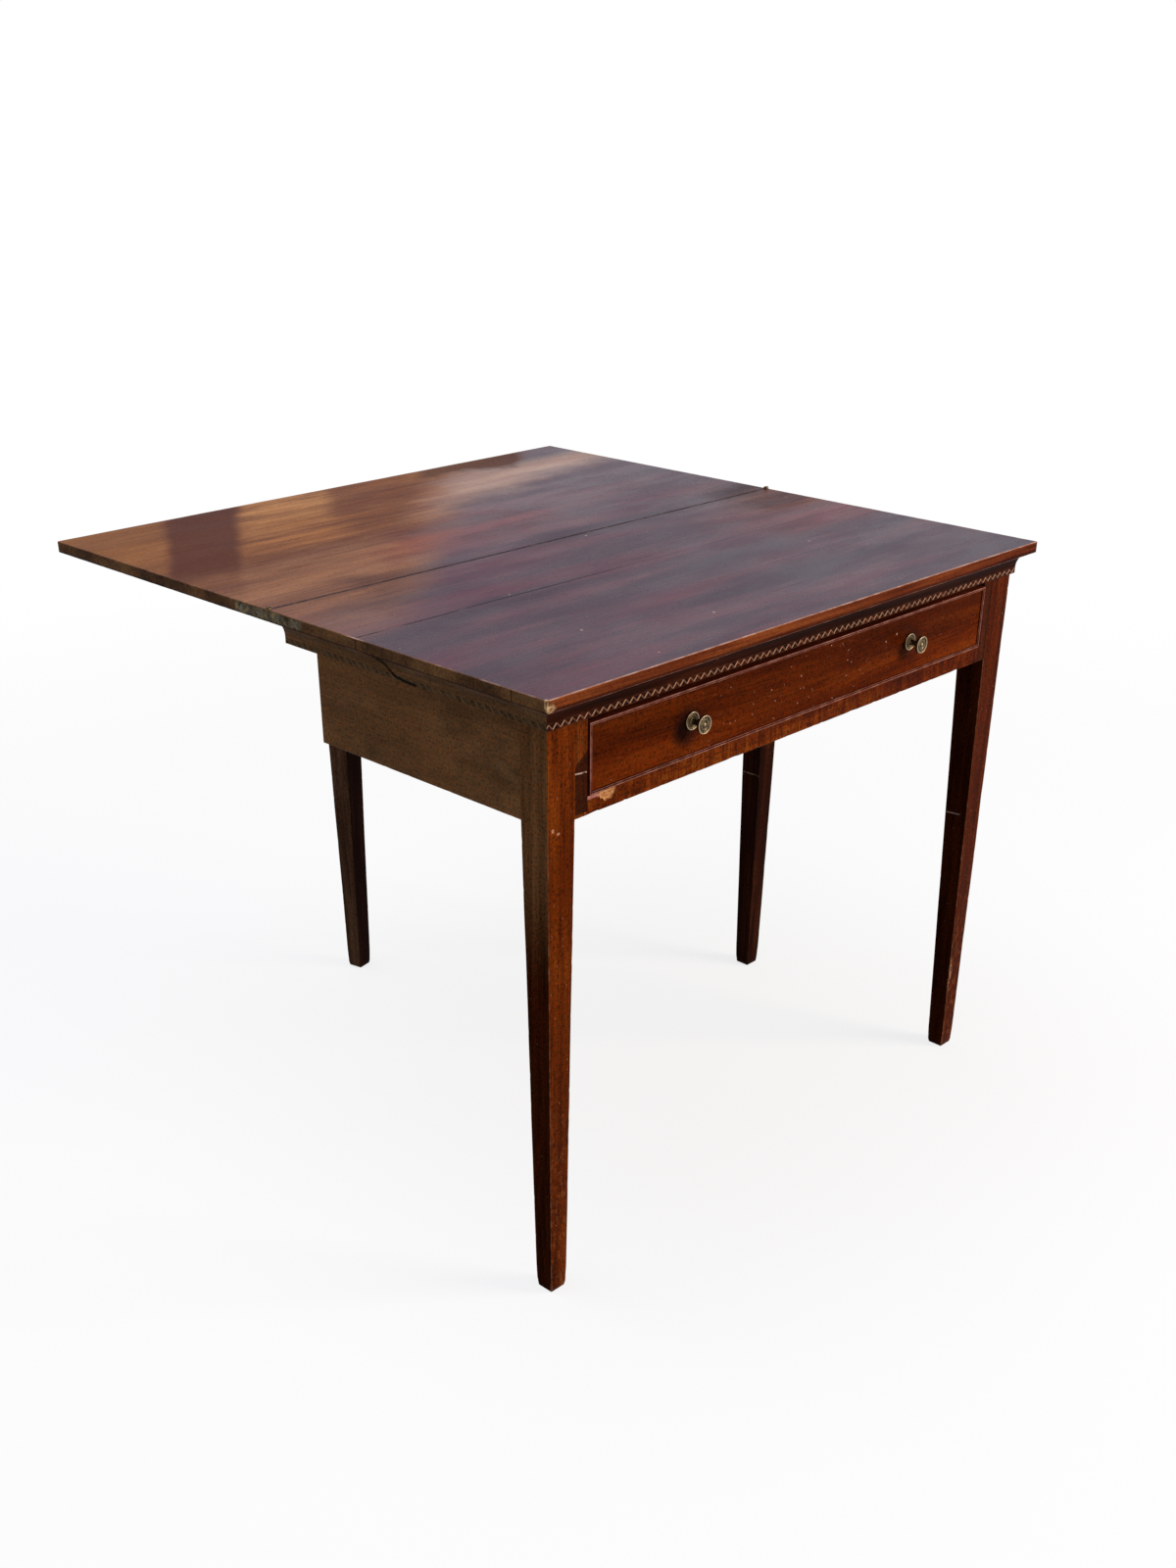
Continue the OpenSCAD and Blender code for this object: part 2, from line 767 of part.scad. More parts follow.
// Triangular blocks glued in the angle under the fixed leaf, along the aprons and the back rail
module glue_blocks() {
    g = glue_block;
    side_run = inner_front - leg_back;
    color(pine) {
        both_sides() for (t = [0.2, 0.5, 0.8])
            along_y(leg_back + t * side_run - glue_block_l / 2, leg_back + t * side_run + glue_block_l / 2)
                polygon([[-apron_in, frame_top], [-apron_in + g, frame_top], [-apron_in, frame_top - g]]);
        for (t = [-0.5, 0, 0.5])
            along_x(t * leg_in - glue_block_l / 2, t * leg_in + glue_block_l / 2)
                polygon([[inner_front, frame_top], [inner_front - g, frame_top],
                         [inner_front, frame_top - g]]);
    }
}

// Screws that hold the top: two up through the front rail and two up through each kicker

rail_screw_l = top_rail_t + screw_bite;
kicker_screw_l = frame_top - kicker_z + screw_bite;

module rail_screw_places() {
    both_sides() translate([rail_screw_x, front_y + top_rail_d / 2, top_rail_z])
        mirror([0, 0, 1]) children();
}

module kicker_screw_places() {
    run = inner_front - front_y - top_rail_d;
    both_sides() for (t = [0.25, 0.75])
        translate([(leg_in + side_in) / 2, front_y + top_rail_d + t * run, kicker_z])
            mirror([0, 0, 1]) children();
}

module top_screw_holes() {
    rail_screw_places() screw_hole(rail_screw_l, screw_r, screw_head_r);
    kicker_screw_places() screw_hole(kicker_screw_l, screw_r, screw_head_r);
}

module top_screws() {
    color(steel) {
        rail_screw_places() wood_screw(rail_screw_l, screw_r, screw_head_r, 40);
        kicker_screw_places() wood_screw(kicker_screw_l, screw_r, screw_head_r, 65);
    }
}

// Screws that hold the fixed hinge rail to the inner back rail
hinge_rail_screw_l = fly_t + gate_gap + 1.5 * screw_bite;

module hinge_rail_screw_places() {
    run = leg_in - pivot_x;
    for (t = [0.2, 0.5, 0.8])
        translate([pivot_x + t * run, pivot_y + fly_t / 2, (fly_z + frame_top) / 2])
            rotate([-90, 0, 0]) children();
}

module hinge_rail_screws() {
    color(steel) hinge_rail_screw_places()
        wood_screw(hinge_rail_screw_l, screw_r, screw_head_r, 65);
}

// Drawer

// Dovetails of the left drawer side, from the back of the front to its lap
module side_tails(grow = 0) {
    h = side_top - drawer_z;
    pitch = h / drawer_tails;
    length = drawer_front_t - lap_t;
    out = grow > 0 ? 1 : 0;
    along_x(-drawer_x - out, -side_in + grow) for (i = [0:drawer_tails - 1])
        translate([face_back, drawer_z + (i + 0.5) * pitch]) mirror([1, 0])
            tail_2d(length, pitch / 2, grow);
}

// The bottom board, from groove to groove and back under the drawer's back
module bottom_board(grow = 0) {
    x = side_in + groove_d;
    block([-x - grow, face_back - groove_d - grow, bottom_z - grow],
          [x + grow, drawer_back_y + grow, bottom_z + drawer_bottom_t + grow]);
}

// Housing of the drawer's back in the sides
back_housing = 3;
back_z = bottom_z + drawer_bottom_t;
module back_board(grow = 0) {
    x = side_in + back_housing;
    y = drawer_back_y - side_run_on;
    block([-x - grow, y - drawer_side_t - grow, back_z - grow],
          [x + grow, y + grow, side_top - back_drop + (grow > 0 ? far : 0)]);
}

module drawer_side() {
    difference() {
        union() {
            block([-drawer_x, face_back, drawer_z], [-side_in, drawer_back_y, side_top]);
            side_tails();
        }
        bottom_board(joint_clear);
        back_board(joint_clear);
    }
}

module drawer_front() {
    b = bead_w;
    color(mahogany) difference() {
        block([-drawer_x, front_y, drawer_z], [drawer_x, face_back, drawer_top]);
        difference() {
            block([-drawer_x - 1, front_y - 1, drawer_z - 1],
                  [drawer_x + 1, front_y + bead_d, drawer_top + 1]);
            block([-drawer_x + b, front_y - 2, drawer_z + b],
                  [drawer_x - b, front_y + bead_d + 1, drawer_top - b]);
        }
        both_sides() side_tails(joint_clear);
        bottom_board(joint_clear);
        knob_places() translate([0, 0, -drawer_front_t - 1])
            cylinder(r = post_r + hole_clear, h = drawer_front_t + 2);
    }
}

module drawer_left_side() { color(oak) drawer_side(); }
module drawer_right_side() { color(oak) mirror([1, 0, 0]) drawer_side(); }
module drawer_back() { color(oak) back_board(); }
module drawer_bottom() { color(pine) bottom_board(); }

// Bead round the drawer front: a strip with a half-round nose, standing off one edge
module bead_2d() {
    square([bead_w, bead_d]);
    translate([bead_w / 2, 0]) circle(r = bead_w / 2);
}

// The bead along the top, cut to its mitres
module level_bead() {
    b = bead_w;
    intersection() {
        along_x(-drawer_x, drawer_x) translate([front_y, drawer_top]) rotate(-90) bead_2d();
        along_y(front_y - 9, front_y + 9)
            polygon([[-drawer_x, drawer_top], [-drawer_x + b, drawer_top - b],
                     [drawer_x - b, drawer_top - b], [drawer_x, drawer_top]]);
    }
}

module upright_bead() {
    b = bead_w;
    intersection() {
        translate([-drawer_x, front_y, drawer_z]) linear_extrude(drawer_h) bead_2d();
        along_y(front_y - 9, front_y + 9)
            polygon([[-drawer_x, drawer_z], [-drawer_x + b, drawer_z + b],
                     [-drawer_x + b, drawer_top - b], [-drawer_x, drawer_top]]);
    }
}

module drawer_top_bead() { color(mahogany) level_bead(); }
module drawer_bottom_bead() {
    color(mahogany) translate([0, 0, drawer_z + drawer_top]) mirror([0, 0, 1]) level_bead();
}
module drawer_left_bead() { color(mahogany) upright_bead(); }
module drawer_right_bead() { color(mahogany) mirror([1, 0, 0]) upright_bead(); }

// Knobs, turned about an axis that stands on the drawer's face

rose_dish = rose_t * 0.55;

module knob_at(side) {
    translate([side * knob_x, front_y, drawer_z + knob_lift]) rotate([90, 0, 0]) children();
}

module knob_places() {
    knob_at(-1) children();
    knob_at(1) children();
}

// Rose: a thin dished plate with a raised rim and one inner ring
module rose() {
    r = knob_r;
    rotate_extrude() polygon([
        [post_r + hole_clear, 0], [r, 0], [r, rose_t - 0.6], [r - 0.5, rose_t], [r - 1.3, rose_t],
        [r - 2, rose_dish], [r * 0.62, rose_dish], [r * 0.58, rose_t - 0.2], [r * 0.5, rose_t - 0.2],
        [r * 0.46, rose_dish], [post_r + hole_clear, rose_dish]
    ]);
}

// Knob: post, waisted neck and a disc with a rim, a ring and a boss
module knob() {
    r = knob_r;
    h = knob_out;
    rotate_extrude() polygon([
        [0, -drawer_front_t - nut_t - 2], [post_r, -drawer_front_t - nut_t - 2],
        [post_r, rose_dish], [knob_neck_r + 1, rose_dish], [knob_neck_r + 1, rose_dish + 1],
        [knob_neck_r, rose_dish + 2], [knob_neck_r - 0.5, h * 0.4], [knob_neck_r + 0.4, h * 0.62],
        [r * 0.6, h * 0.74], [r - 0.8, h * 0.78], [r, h * 0.82], [r, h - 0.8], [r - 0.5, h],
        [r - 1.2, h], [r - 1.8, h - 1.2], [r * 0.58, h - 1.4], [r * 0.54, h - 0.7],
        [r * 0.44, h - 0.7], [r * 0.4, h - 1.4], [r * 0.22, h - 1.4], [r * 0.16, h - 0.5], [0, h - 0.2]
    ]);
}

module left_knob() { color(brass) knob_at(-1) knob(); }
module right_knob() { color(brass) knob_at(1) knob(); }
module left_knob_rose() { color(brass) knob_at(-1) rose(); }
module right_knob_rose() { color(brass) knob_at(1) rose(); }

module knob_nuts() {
    color(brass) knob_places() translate([0, 0, -drawer_front_t - nut_t])
        linear_extrude(nut_t) difference() {
            square(nut_w, center = true);
            circle(r = post_r + hole_clear);
        }
}

fixed_leaf();
folding_leaf();
left_hinge_fixed_plate();
right_hinge_fixed_plate();
left_hinge_flap_plate();
right_hinge_flap_plate();
leaf_hinge_pins();
fixed_leaf_hinge_screws();
folding_leaf_hinge_screws();
front_cornice();
left_cornice();
right_cornice();
front_rope_inlay();
left_rope_inlay();
right_rope_inlay();
front_left_leg();
front_right_leg();
rear_right_leg();
left_side_apron();
right_side_apron();
front_top_rail();
front_lower_rail();
left_drawer_stile();
right_drawer_stile();
inner_back_rail();
fixed_hinge_rail();
gate_hinge_pin();
fly_rail();
gate_leg();
left_drawer_runner();
right_drawer_runner();
left_drawer_guide();
right_drawer_guide();
left_kicker();
right_kicker();
drawer_stops();
glue_blocks();
top_screws();
hinge_rail_screws();
drawer_front();
drawer_left_side();
drawer_right_side();
drawer_back();
drawer_bottom();
drawer_top_bead();
drawer_bottom_bead();
drawer_left_bead();
drawer_right_bead();
left_knob();
right_knob();
left_knob_rose();
right_knob_rose();
knob_nuts();
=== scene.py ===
"""Fold-over mahogany tea table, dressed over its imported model.

Shapes are worked out in millimetres in the model's own frame and stored in metres. A board is a
stack of outlines carried along its length, so its worn arrises and chips are part of the shape.
Finishes read places in the same frame, in metres.
"""
import json
import math
from functools import reduce

import bpy
import numpy as np
from mathutils import Matrix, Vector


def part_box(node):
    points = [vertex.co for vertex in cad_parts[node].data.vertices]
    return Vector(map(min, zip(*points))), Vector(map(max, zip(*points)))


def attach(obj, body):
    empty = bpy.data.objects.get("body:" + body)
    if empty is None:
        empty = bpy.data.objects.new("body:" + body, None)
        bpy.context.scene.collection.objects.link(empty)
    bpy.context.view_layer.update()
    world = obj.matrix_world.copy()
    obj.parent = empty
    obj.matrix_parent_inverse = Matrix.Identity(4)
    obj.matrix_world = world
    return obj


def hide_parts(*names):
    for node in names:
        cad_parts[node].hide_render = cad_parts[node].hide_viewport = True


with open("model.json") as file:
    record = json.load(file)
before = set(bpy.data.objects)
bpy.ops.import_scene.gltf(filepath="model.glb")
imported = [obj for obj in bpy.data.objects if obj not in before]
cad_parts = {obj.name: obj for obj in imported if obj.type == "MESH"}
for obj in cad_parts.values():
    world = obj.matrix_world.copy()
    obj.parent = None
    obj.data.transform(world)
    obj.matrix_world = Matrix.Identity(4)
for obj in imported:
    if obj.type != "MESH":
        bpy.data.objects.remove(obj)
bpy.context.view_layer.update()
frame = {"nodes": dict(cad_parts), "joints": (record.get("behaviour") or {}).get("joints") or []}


def mm(node):
    """Lowest and highest corner of a CAD node in millimetres."""
    return np.round(np.array(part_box(node)) * 1000, 3)


# Sizes in millimetres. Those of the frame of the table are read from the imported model.
leg_low, leg_high = mm("front_left_leg")
SIDE_X = -leg_low[0]                          # outer faces, left and right
FRONT_Y = leg_low[1]                          # front face
REAR_Y = mm("rear_right_leg")[1][1]           # rear face
UNDER_TOP = leg_high[2]                       # underside of the leaves
LEG_W = leg_high[0] - leg_low[0]
FOOT_W = 25.0
APRON_Z = mm("left_side_apron")[0][2]         # lower edge of the frame
BACK_RAIL_Y = mm("inner_back_rail")[:, 1]     # front and rear faces of that rail
STILE_X = mm("right_drawer_stile")[0][0]      # the stiles' faces towards the drawer
DRAWER_LOW, DRAWER_HIGH = mm("drawer_front")
BEAD_W = 4.5                                  # width of the bead round the drawer

# The moulding and the rope inlay let into it
MOULDING_Z = mm("front_cornice")[0][2]
MOULDING_OUT = mm("front_cornice")[1][0] - SIDE_X
MOULDING_END_Y = mm("left_cornice")[1][1]
ROPE_Z = mm("front_rope_inlay")[:, 2]
ROPE_OUT = mm("front_rope_inlay")[1][0] - SIDE_X
ROPE_DEEP = 1.0                               # depth of its groove
STRIP_Z = ROPE_Z + (0.05, -0.05)              # the strip has a little play in the groove
ROPE_PITCH = 11.2                             # one zig and one zag
HOLLOW_Z = (712.5, 728.0)                     # lower and upper edge of the hollow
HOLLOW_R = 24.0                               # its radius

# Pockets for the hinge plates in the ends of the leaves
PLAY = 0.1
plate_low, plate_high = mm("left_hinge_fixed_plate")
POCKET_X = -plate_high[0] - PLAY              # floor
POCKET_Y = PLAY - plate_low[1]                # length from the joint
POCKET_Z = (plate_low[2] - PLAY, 743.9)
KNUCKLE_Y = 3.4                               # the knuckle's room, cut through above the plates

# The gate: its pin, how far open it is drawn, and its leg's corner and lap when it is shut
swing = next(joint for joint in frame["joints"] if joint["name"] == "gate_swing")
PIVOT = np.array(swing["pos_m"][:2]) * 1000
GATE_OPEN = swing["range_deg"][1]
SHUT_CORNER = (1.0 - SIDE_X, REAR_Y)
SHUT_LAP_Y = -56.5

# Wear that the photograph shows. The broken corner of the fixed leaf is two hollows, each as its
# middle and half its size. The edge of the broken veneer is (x, z), the split moulding's (y, z).
CORNER_CHIPS = (((-441, -447, 735.5), (7.5, 6, 5.6)), ((-444, -446, 741), (3, 4, 7)))
VENEER_EDGE = ((-365, 614.5), (-350, 615.5), (-346, 612), (-341, 608.5), (-333, 607),
               (-326, 610.5), (-319, 625))
SPLIT = ((-144, 728.5), (-156, 727), (-168, 725), (-181, 721), (-188, 715.5), (-194, 711.3),
         (-201, 708.8), (-217, 707.2), (-231, 706.6))
SPLIT_HALF = 2.0

ARC = 4           # steps round a softened arris
AROUND = 96       # steps round a turned piece
SHARP = 0.01      # distance between two rows of points that make a square step
EDGE_ROWS = np.arange(1.5, 15, 1.5)           # rows of points beside the edges of the top

# The photograph's viewpoint: lengths in its pixels, and the eye's place in metres
PHOTO_W, PHOTO_H = 1200, 1600
FOCAL_PIXELS = 1729.62
AXIS_PIXEL = (593.77, 1053.83)
SENSOR_MM = 36.0
EYE = (-1.5506, -1.5708, 1.2778)
GAZE = (0.6223, 0.60553, -0.49605)
UPWARD = (0.35347, 0.34805, 0.86829)


# Camera, light and floor

def new_object(name, data):
    """An object that holds data, in the scene."""
    obj = bpy.data.objects.new(name, data)
    bpy.context.scene.collection.objects.link(obj)
    return obj


def look_along(obj, place, forward, up):
    """Puts obj at place, its own -Z along forward and its own Y as near up as it can be."""
    forward = np.array(forward) / np.linalg.norm(forward)
    right = np.cross(forward, up)
    right /= np.linalg.norm(right)
    turned = np.eye(4)
    turned[:3, :3] = np.stack([right, np.cross(right, forward), -forward], 1)
    turned[:3, 3] = place
    obj.matrix_world = Matrix(turned.tolist())


def make_camera():
    """The photograph's view: 45.8 degrees round from the front and 29.7 degrees down."""
    data = bpy.data.cameras.new("camera")
    data.sensor_fit = "VERTICAL"
    data.sensor_height = SENSOR_MM
    data.lens = FOCAL_PIXELS / PHOTO_H * SENSOR_MM
    data.shift_x = (PHOTO_W / 2 - AXIS_PIXEL[0]) / PHOTO_H
    data.shift_y = (AXIS_PIXEL[1] - PHOTO_H / 2) / PHOTO_H
    data.clip_start = 0.05
    camera = new_object("camera", data)
    look_along(camera, EYE, GAZE, UPWARD)
    bpy.context.scene.camera = camera


def lamp(name, place, target, size, power, tint):
    """A soft square lamp at place that shines on target."""
    data = bpy.data.lights.new(name, "AREA")
    data.shape = "SQUARE"
    data.size = size
    data.energy = power
    data.color = colour(tint)[:3]
    look_along(new_object(name, data), place, np.array(target) - np.array(place), (0, 0.01, 1))


def colour(text):
    """Linear RGBA from an sRGB hex value."""
    part = np.array([int(text[i:i + 2], 16) for i in (1, 3, 5)]) / 255
    line = np.where(part <= 0.04045, part / 12.92, ((part + 0.055) / 1.055) ** 2.4)
    return (*line.tolist(), 1.0)


# Words for kinds of node with their settings, and where the three tones of a ramp lie
WORDS = {"step": ("MapRange", {"interpolation_type": "SMOOTHSTEP"}),
         "blend": ("Mix", {"data_type": "FLOAT"}),
         "layer": ("Mix", {"data_type": "RGBA"})}
TONE_PLACES = (0.12, 0.5, 0.9)


def put(tree, kind, *inputs, named=None, **settings):
    """Adds a node. kind is a word from WORDS, the operation of a math node in capitals, or
    Blender's name without ShaderNode. inputs go to the sockets in order, and those in named to
    the sockets of that name or number. An input is a value, an output, or a node for its output
    Fac or else its first in use. settings are the node's own values, and tones the tints of a
    colour ramp."""
    kind, own = WORDS.get(kind, (kind, {}))
    if kind.isupper():
        kind, own = "Math", {"operation": kind}
    made = tree.nodes.new("ShaderNode" + kind)
    for name, value in {**own, **settings}.items():
        if name == "tones":
            made.color_ramp.elements.new(0.5)
            for element, place, tint in zip(made.color_ramp.elements, TONE_PLACES, value):
                element.position = place
                element.color = colour(tint)
        else:
            setattr(made, name, value)
    for name, value in {**dict(enumerate(inputs)), **(named or {})}.items():
        if isinstance(value, bpy.types.Node):
            value = value.outputs.get("Fac") or next(o for o in value.outputs if o.enabled)
        if isinstance(value, bpy.types.NodeSocket):
            tree.links.new(value, made.inputs[name])
        else:
            made.inputs[name].default_value = value
    return made


def fresh(name):
    """An empty node material, its tree and the places on its pieces in metres."""
    material = bpy.data.materials.new(name)
    material.use_nodes = True
    tree = material.node_tree
    tree.nodes.clear()
    return material, tree, put(tree, "TexCoord").outputs["Object"]


def seen_directly(tree):
    """1 for rays from the camera, from a reflection or through glass, 0 for light that bounces."""
    ray = put(tree, "LightPath").outputs
    two = put(tree, "ADD", ray["Is Camera Ray"], ray["Is Glossy Ray"], use_clamp=True)
    return put(tree, "ADD", two, ray["Is Transmission Ray"], use_clamp=True)


def make_world():
    """A plain even sky that looks white and lights the table less than that."""
    world = bpy.data.worlds.new("studio")
    world.use_nodes = True
    tree = world.node_tree
    tree.nodes.clear()
    light = put(tree, "Background", colour("#e9edf5"), 0.30)
    white = put(tree, "Background", colour("#ffffff"), 1.0)
    put(tree, "OutputWorld", put(tree, "MixShader", seen_directly(tree), light, white))
    bpy.context.scene.world = world


def make_floor():
    """A wide pale floor. It looks nearly white and keeps the table's shadow, which fades out
    between 0.6 and 3 m from the middle."""
    material, tree, raw = fresh("pale_floor")
    lit = put(tree, "BsdfDiffuse", colour("#f4f4f4"))
    glow = put(tree, "Emission", colour("#ffffff"), 1.0)
    away = put(tree, "VectorMath", raw, operation="LENGTH")
    share = put(tree, "step", away.outputs["Value"], 0.6, 3.0, 0.80, 1.0)
    pale = put(tree, "MixShader", share, lit, glow)
    dim = put(tree, "BsdfDiffuse", colour("#8f8b86"))
    put(tree, "OutputMaterial", put(tree, "MixShader", seen_directly(tree), dim, pale))
    mesh = bpy.data.meshes.new("floor")
    far = 14.0
    mesh.from_pydata([(-far, -far, 0), (far, -far, 0), (far, far, 0), (-far, far, 0)], [],
                     [(0, 1, 2, 3)])
    mesh.materials.append(material)
    new_object("floor", mesh)


# Shapes

def lumps(points, size, seed):
    """Smooth noise from -1 to 1: random values on a cubic lattice `size` mm apart, blended with
    an eased step between neighbours."""
    table = np.random.default_rng(seed).uniform(-1, 1, (32, 32, 32))
    q = np.asarray(points, float) / size
    cell = np.floor(q).astype(int)
    f = q - cell
    f = f * f * (3 - 2 * f)
    total = np.zeros(q.shape[:-1])
    for corner in np.ndindex(2, 2, 2):
        c = np.array(corner)
        k = (cell + c) % 32
        total += np.where(c, f, 1 - f).prod(-1) * table[k[..., 0], k[..., 1], k[..., 2]]
    return total


def ease(low, high, x):
    """0 below low, 1 above high, and a smooth step between."""
    t = np.clip((x - low) / (high - low), 0, 1)
    return t * t * (3 - 2 * t)


def corner_normals(corner_vert, corner_face, normal, area, limit=40):
    """Shading normals, one a face corner: the mean of the faces round that vertex which lie
    within `limit` degrees of this one, each weighted by its area to the power 1.5. Flats stay
    flat, arrises run round and edges of notches stay crisp."""
    order = np.argsort(corner_vert, kind="stable")
    vert, face = corner_vert[order], corner_face[order]
    n = normal[face]
    w = n * (area[face][:, None] ** 1.5 + 1e-12)
    total = w.copy()
    most = np.diff(np.flatnonzero(np.r_[True, vert[1:] != vert[:-1], True])).max()
    near = math.cos(math.radians(limit))
    for s in range(1, most):
        same = (vert[s:] == vert[:-s]) & ((n[s:] * n[:-s]).sum(1) > near)
        total[:-s][same] += w[s:][same]
        total[s:][same] += w[:-s][same]
    total /= np.linalg.norm(total, axis=1, keepdims=True) + 1e-30
    result = np.empty_like(total)
    result[order] = total
    return result


def mesh_object(name, points, quads, flats, **fields):
    """A mesh from points in mm, rows of quads and flat many-sided faces. It is turned so that its
    volume is positive, and it gets the shading normals above. fields are values kept per point."""
    points = points.reshape(-1, 3)
    p = points[quads]
    cross = np.cross(p[:, 2] - p[:, 0], p[:, 3] - p[:, 1]) / 2
    volume = (p.mean(1) * cross).sum()
    for f in flats:
        q = points[f] - points[f[0]]
        c = np.cross(q, np.roll(q, -1, 0)).sum(0) / 2
        cross = np.vstack([cross, c[None]])
        volume += (points[f].mean(0) * c).sum()
    if volume < 0:
        quads = quads[:, ::-1]
        flats = [f[::-1] for f in flats]
        cross = -cross
    area = np.linalg.norm(cross, axis=1)
    normal = cross / (area[:, None] + 1e-30)
    corner_vert = np.concatenate([quads.ravel(), *flats])
    sizes = np.r_[np.full(len(quads), 4), [len(f) for f in flats]].astype(int)
    corner_face = np.repeat(np.arange(len(sizes)), sizes)
    shading = corner_normals(corner_vert, corner_face, normal, area)
    mesh = bpy.data.meshes.new(name)
    mesh.from_pydata((points / 1000).tolist(), [], quads.tolist() + [f.tolist() for f in flats])
    mesh.polygons.foreach_set("use_smooth", np.ones(len(mesh.polygons), bool))
    mesh.normals_split_custom_set(shading.tolist())
    for field, value in fields.items():
        layer = mesh.attributes.new(field, "FLOAT", "POINT")
        layer.data.foreach_set("value", np.asarray(value, np.float32).ravel())
    return new_object(name, mesh)


def loft(name, rings, **fields):
    """Skin over a stack of rings (rings, points, 3): point j of ring i meets point j + 1 and ring
    i + 1, and the two ends are flat faces."""
    n, m = rings.shape[:2]
    i, j = np.meshgrid(np.arange(n - 1) * m, np.arange(m), indexing="ij")
    k = (j + 1) % m
    quads = np.stack([i + j, i + k, i + m + k, i + m + j], -1).reshape(-1, 4)
    return mesh_object(name, rings, quads, [np.arange(m)[::-1], (n - 1) * m + np.arange(m)],
                       **fields)


def lathe(name, centre, profile, bright):
    """Turned on an axis along -Y from centre: profile rows are (radius, distance out), bright is a
    value from 0 to 1 for each."""
    r, d = profile.T
    turn = np.linspace(0, 2 * np.pi, AROUND, endpoint=False)
    x = r[:, None] * np.cos(turn)
    z = r[:, None] * np.sin(turn)
    y = np.broadcast_to(-d[:, None], x.shape)
    return loft(name, np.stack([x, y, z], -1) + centre,
                wear=np.broadcast_to(bright[:, None], x.shape))


def stations(t0, t1, r, step, extra=()):
    """Places along a board, and how far its outline draws in there: an arc of radius r at each
    end, and even steps with the extra places between."""
    phi = np.linspace(0, np.pi / 2, ARC)
    lead, inset = r * (1 - np.cos(phi)), r * (1 - np.sin(phi))
    count = max(2, int((t1 - t0) / step))
    middle = np.unique(np.r_[np.linspace(t0 + r, t1 - r, count)[1:-1], extra])
    return (np.r_[t0 + lead, middle, t1 - lead[::-1]],
            np.r_[inset, np.zeros(len(middle)), inset[::-1]])


def outlines(t, inset, a0, a1, b0, b1, r, sides=((), (), (), ())):
    """Rounded rectangles in (a, b), one a station, corners in the order a0b0, a1b0, a1b1, a0b1.
    Each limit is a number or one a station; r is a number or a row of four a station. sides
    lists the places of more points on b = b0, a = a1, b = b1 and a = a0.
    Gives the points, their outward directions and how far each is into an arris (0 to 1)."""
    n = len(t)
    a0, a1, b0, b1 = (np.broadcast_to(np.asarray(v, float), n) for v in (a0, a1, b0, b1))
    a0, a1, b0, b1 = a0 + inset, a1 - inset, b0 + inset, b1 - inset
    r = np.asarray(r, float)
    r = np.broadcast_to(r if r.ndim == 2 else r.reshape(-1, 1), (n, 4))
    r = np.maximum(r - inset[:, None], 0.06)
    ca, cb = np.stack([a0, a1, a1, a0], 1), np.stack([b0, b0, b1, b1], 1)
    inward = np.array([[1, 1], [-1, 1], [-1, -1], [1, -1]])
    bend = np.linspace(0, np.pi / 2, ARC + 1)
    points, out, arris = [], [], []
    for k in range(4):
        phi = bend + np.radians((180, 270, 0, 90)[k])
        c, s = np.cos(phi), np.sin(phi)
        pa = (ca[:, k] + inward[k, 0] * r[:, k])[:, None] + r[:, k, None] * c
        pb = (cb[:, k] + inward[k, 1] * r[:, k])[:, None] + r[:, k, None] * s
        points.append(np.stack([pa, pb], -1))
        out.append(np.broadcast_to(np.stack([c, s], -1), (n, ARC + 1, 2)))
        arris.append(np.broadcast_to(np.sin(2 * bend), (n, ARC + 1)))
        places = np.asarray(sides[k], float)[::-1 if k > 1 else 1]
        if len(places):
            level = np.broadcast_to(places, (n, len(places)))
            held = np.broadcast_to((b0, a1, b1, a0)[k][:, None], level.shape)
            points.append(np.stack((level, held) if k in (0, 2) else (held, level), -1))
            way = np.array(((0, -1), (1, 0), (0, 1), (-1, 0))[k], float)
            out.append(np.broadcast_to(way, (n, len(places), 2)))
            arris.append(np.zeros((n, len(places))))
    return np.concatenate(points, 1), np.concatenate(out, 1), np.concatenate(arris, 1)


def stand(flat, t, axis):
    """(a, b) and the station as x, y, z: a board along x has a = y and b = z, one along y has
    a = x and b = z, one along z has a = x and b = y."""
    a, b = flat[..., 0], flat[..., 1]
    along = np.broadcast_to(t[:, None], a.shape)
    return np.stack({"x": (along, a, b), "y": (a, along, b), "z": (a, b, along)}[axis], -1)


def worn(t, base, seed, nick):
    """Arris radii along a board: base, a slow swell by rubbing, and short nicks where a finer
    noise passes 0.45."""
    place = np.zeros((len(t), 4, 3))
    place[..., 0] = t[:, None]
    place[..., 1] = np.arange(4) * 77.7
    slow, fast = lumps(place, 55, seed), lumps(place, 7, seed + 1)
    return base * (1 + 0.35 * slow) + nick * np.clip(fast - 0.45, 0, None) * 2


def rubbed_ends(arris, inset):
    """Wear of a board: in full on its arrises and a quarter of that round its ends."""
    return np.maximum(arris, (inset > 0)[:, None] * 0.25)


def board(name, axis, low, high, base, seed, nick):
    """A board from its lowest to its highest corner with worn arrises."""
    at = "xyz".index(axis)
    a, b = [k for k in range(3) if k != at]
    t, inset = stations(low[at], high[at], 0.35, 6.0)
    flat, _, arris = outlines(t, inset, low[a], high[a], low[b], high[b],
                              worn(t, base, seed, nick))
    return loft(name, stand(flat, t, axis), wear=rubbed_ends(arris, inset))


# Finishes

def mask(tree, *factors):
    """The product of its factors. A factor is a number, an output, a node, or a soft step given
    as (value, low, high), from 0 at low to 1 at high or between two more numbers."""
    plain = [put(tree, "step", *part) if isinstance(part, tuple) else part for part in factors]
    return reduce(lambda one, other: put(tree, "MULTIPLY", one, other), plain)


def largest(tree, *values):
    """The highest of some values."""
    return reduce(lambda one, other: put(tree, "MAXIMUM", one, other), values)


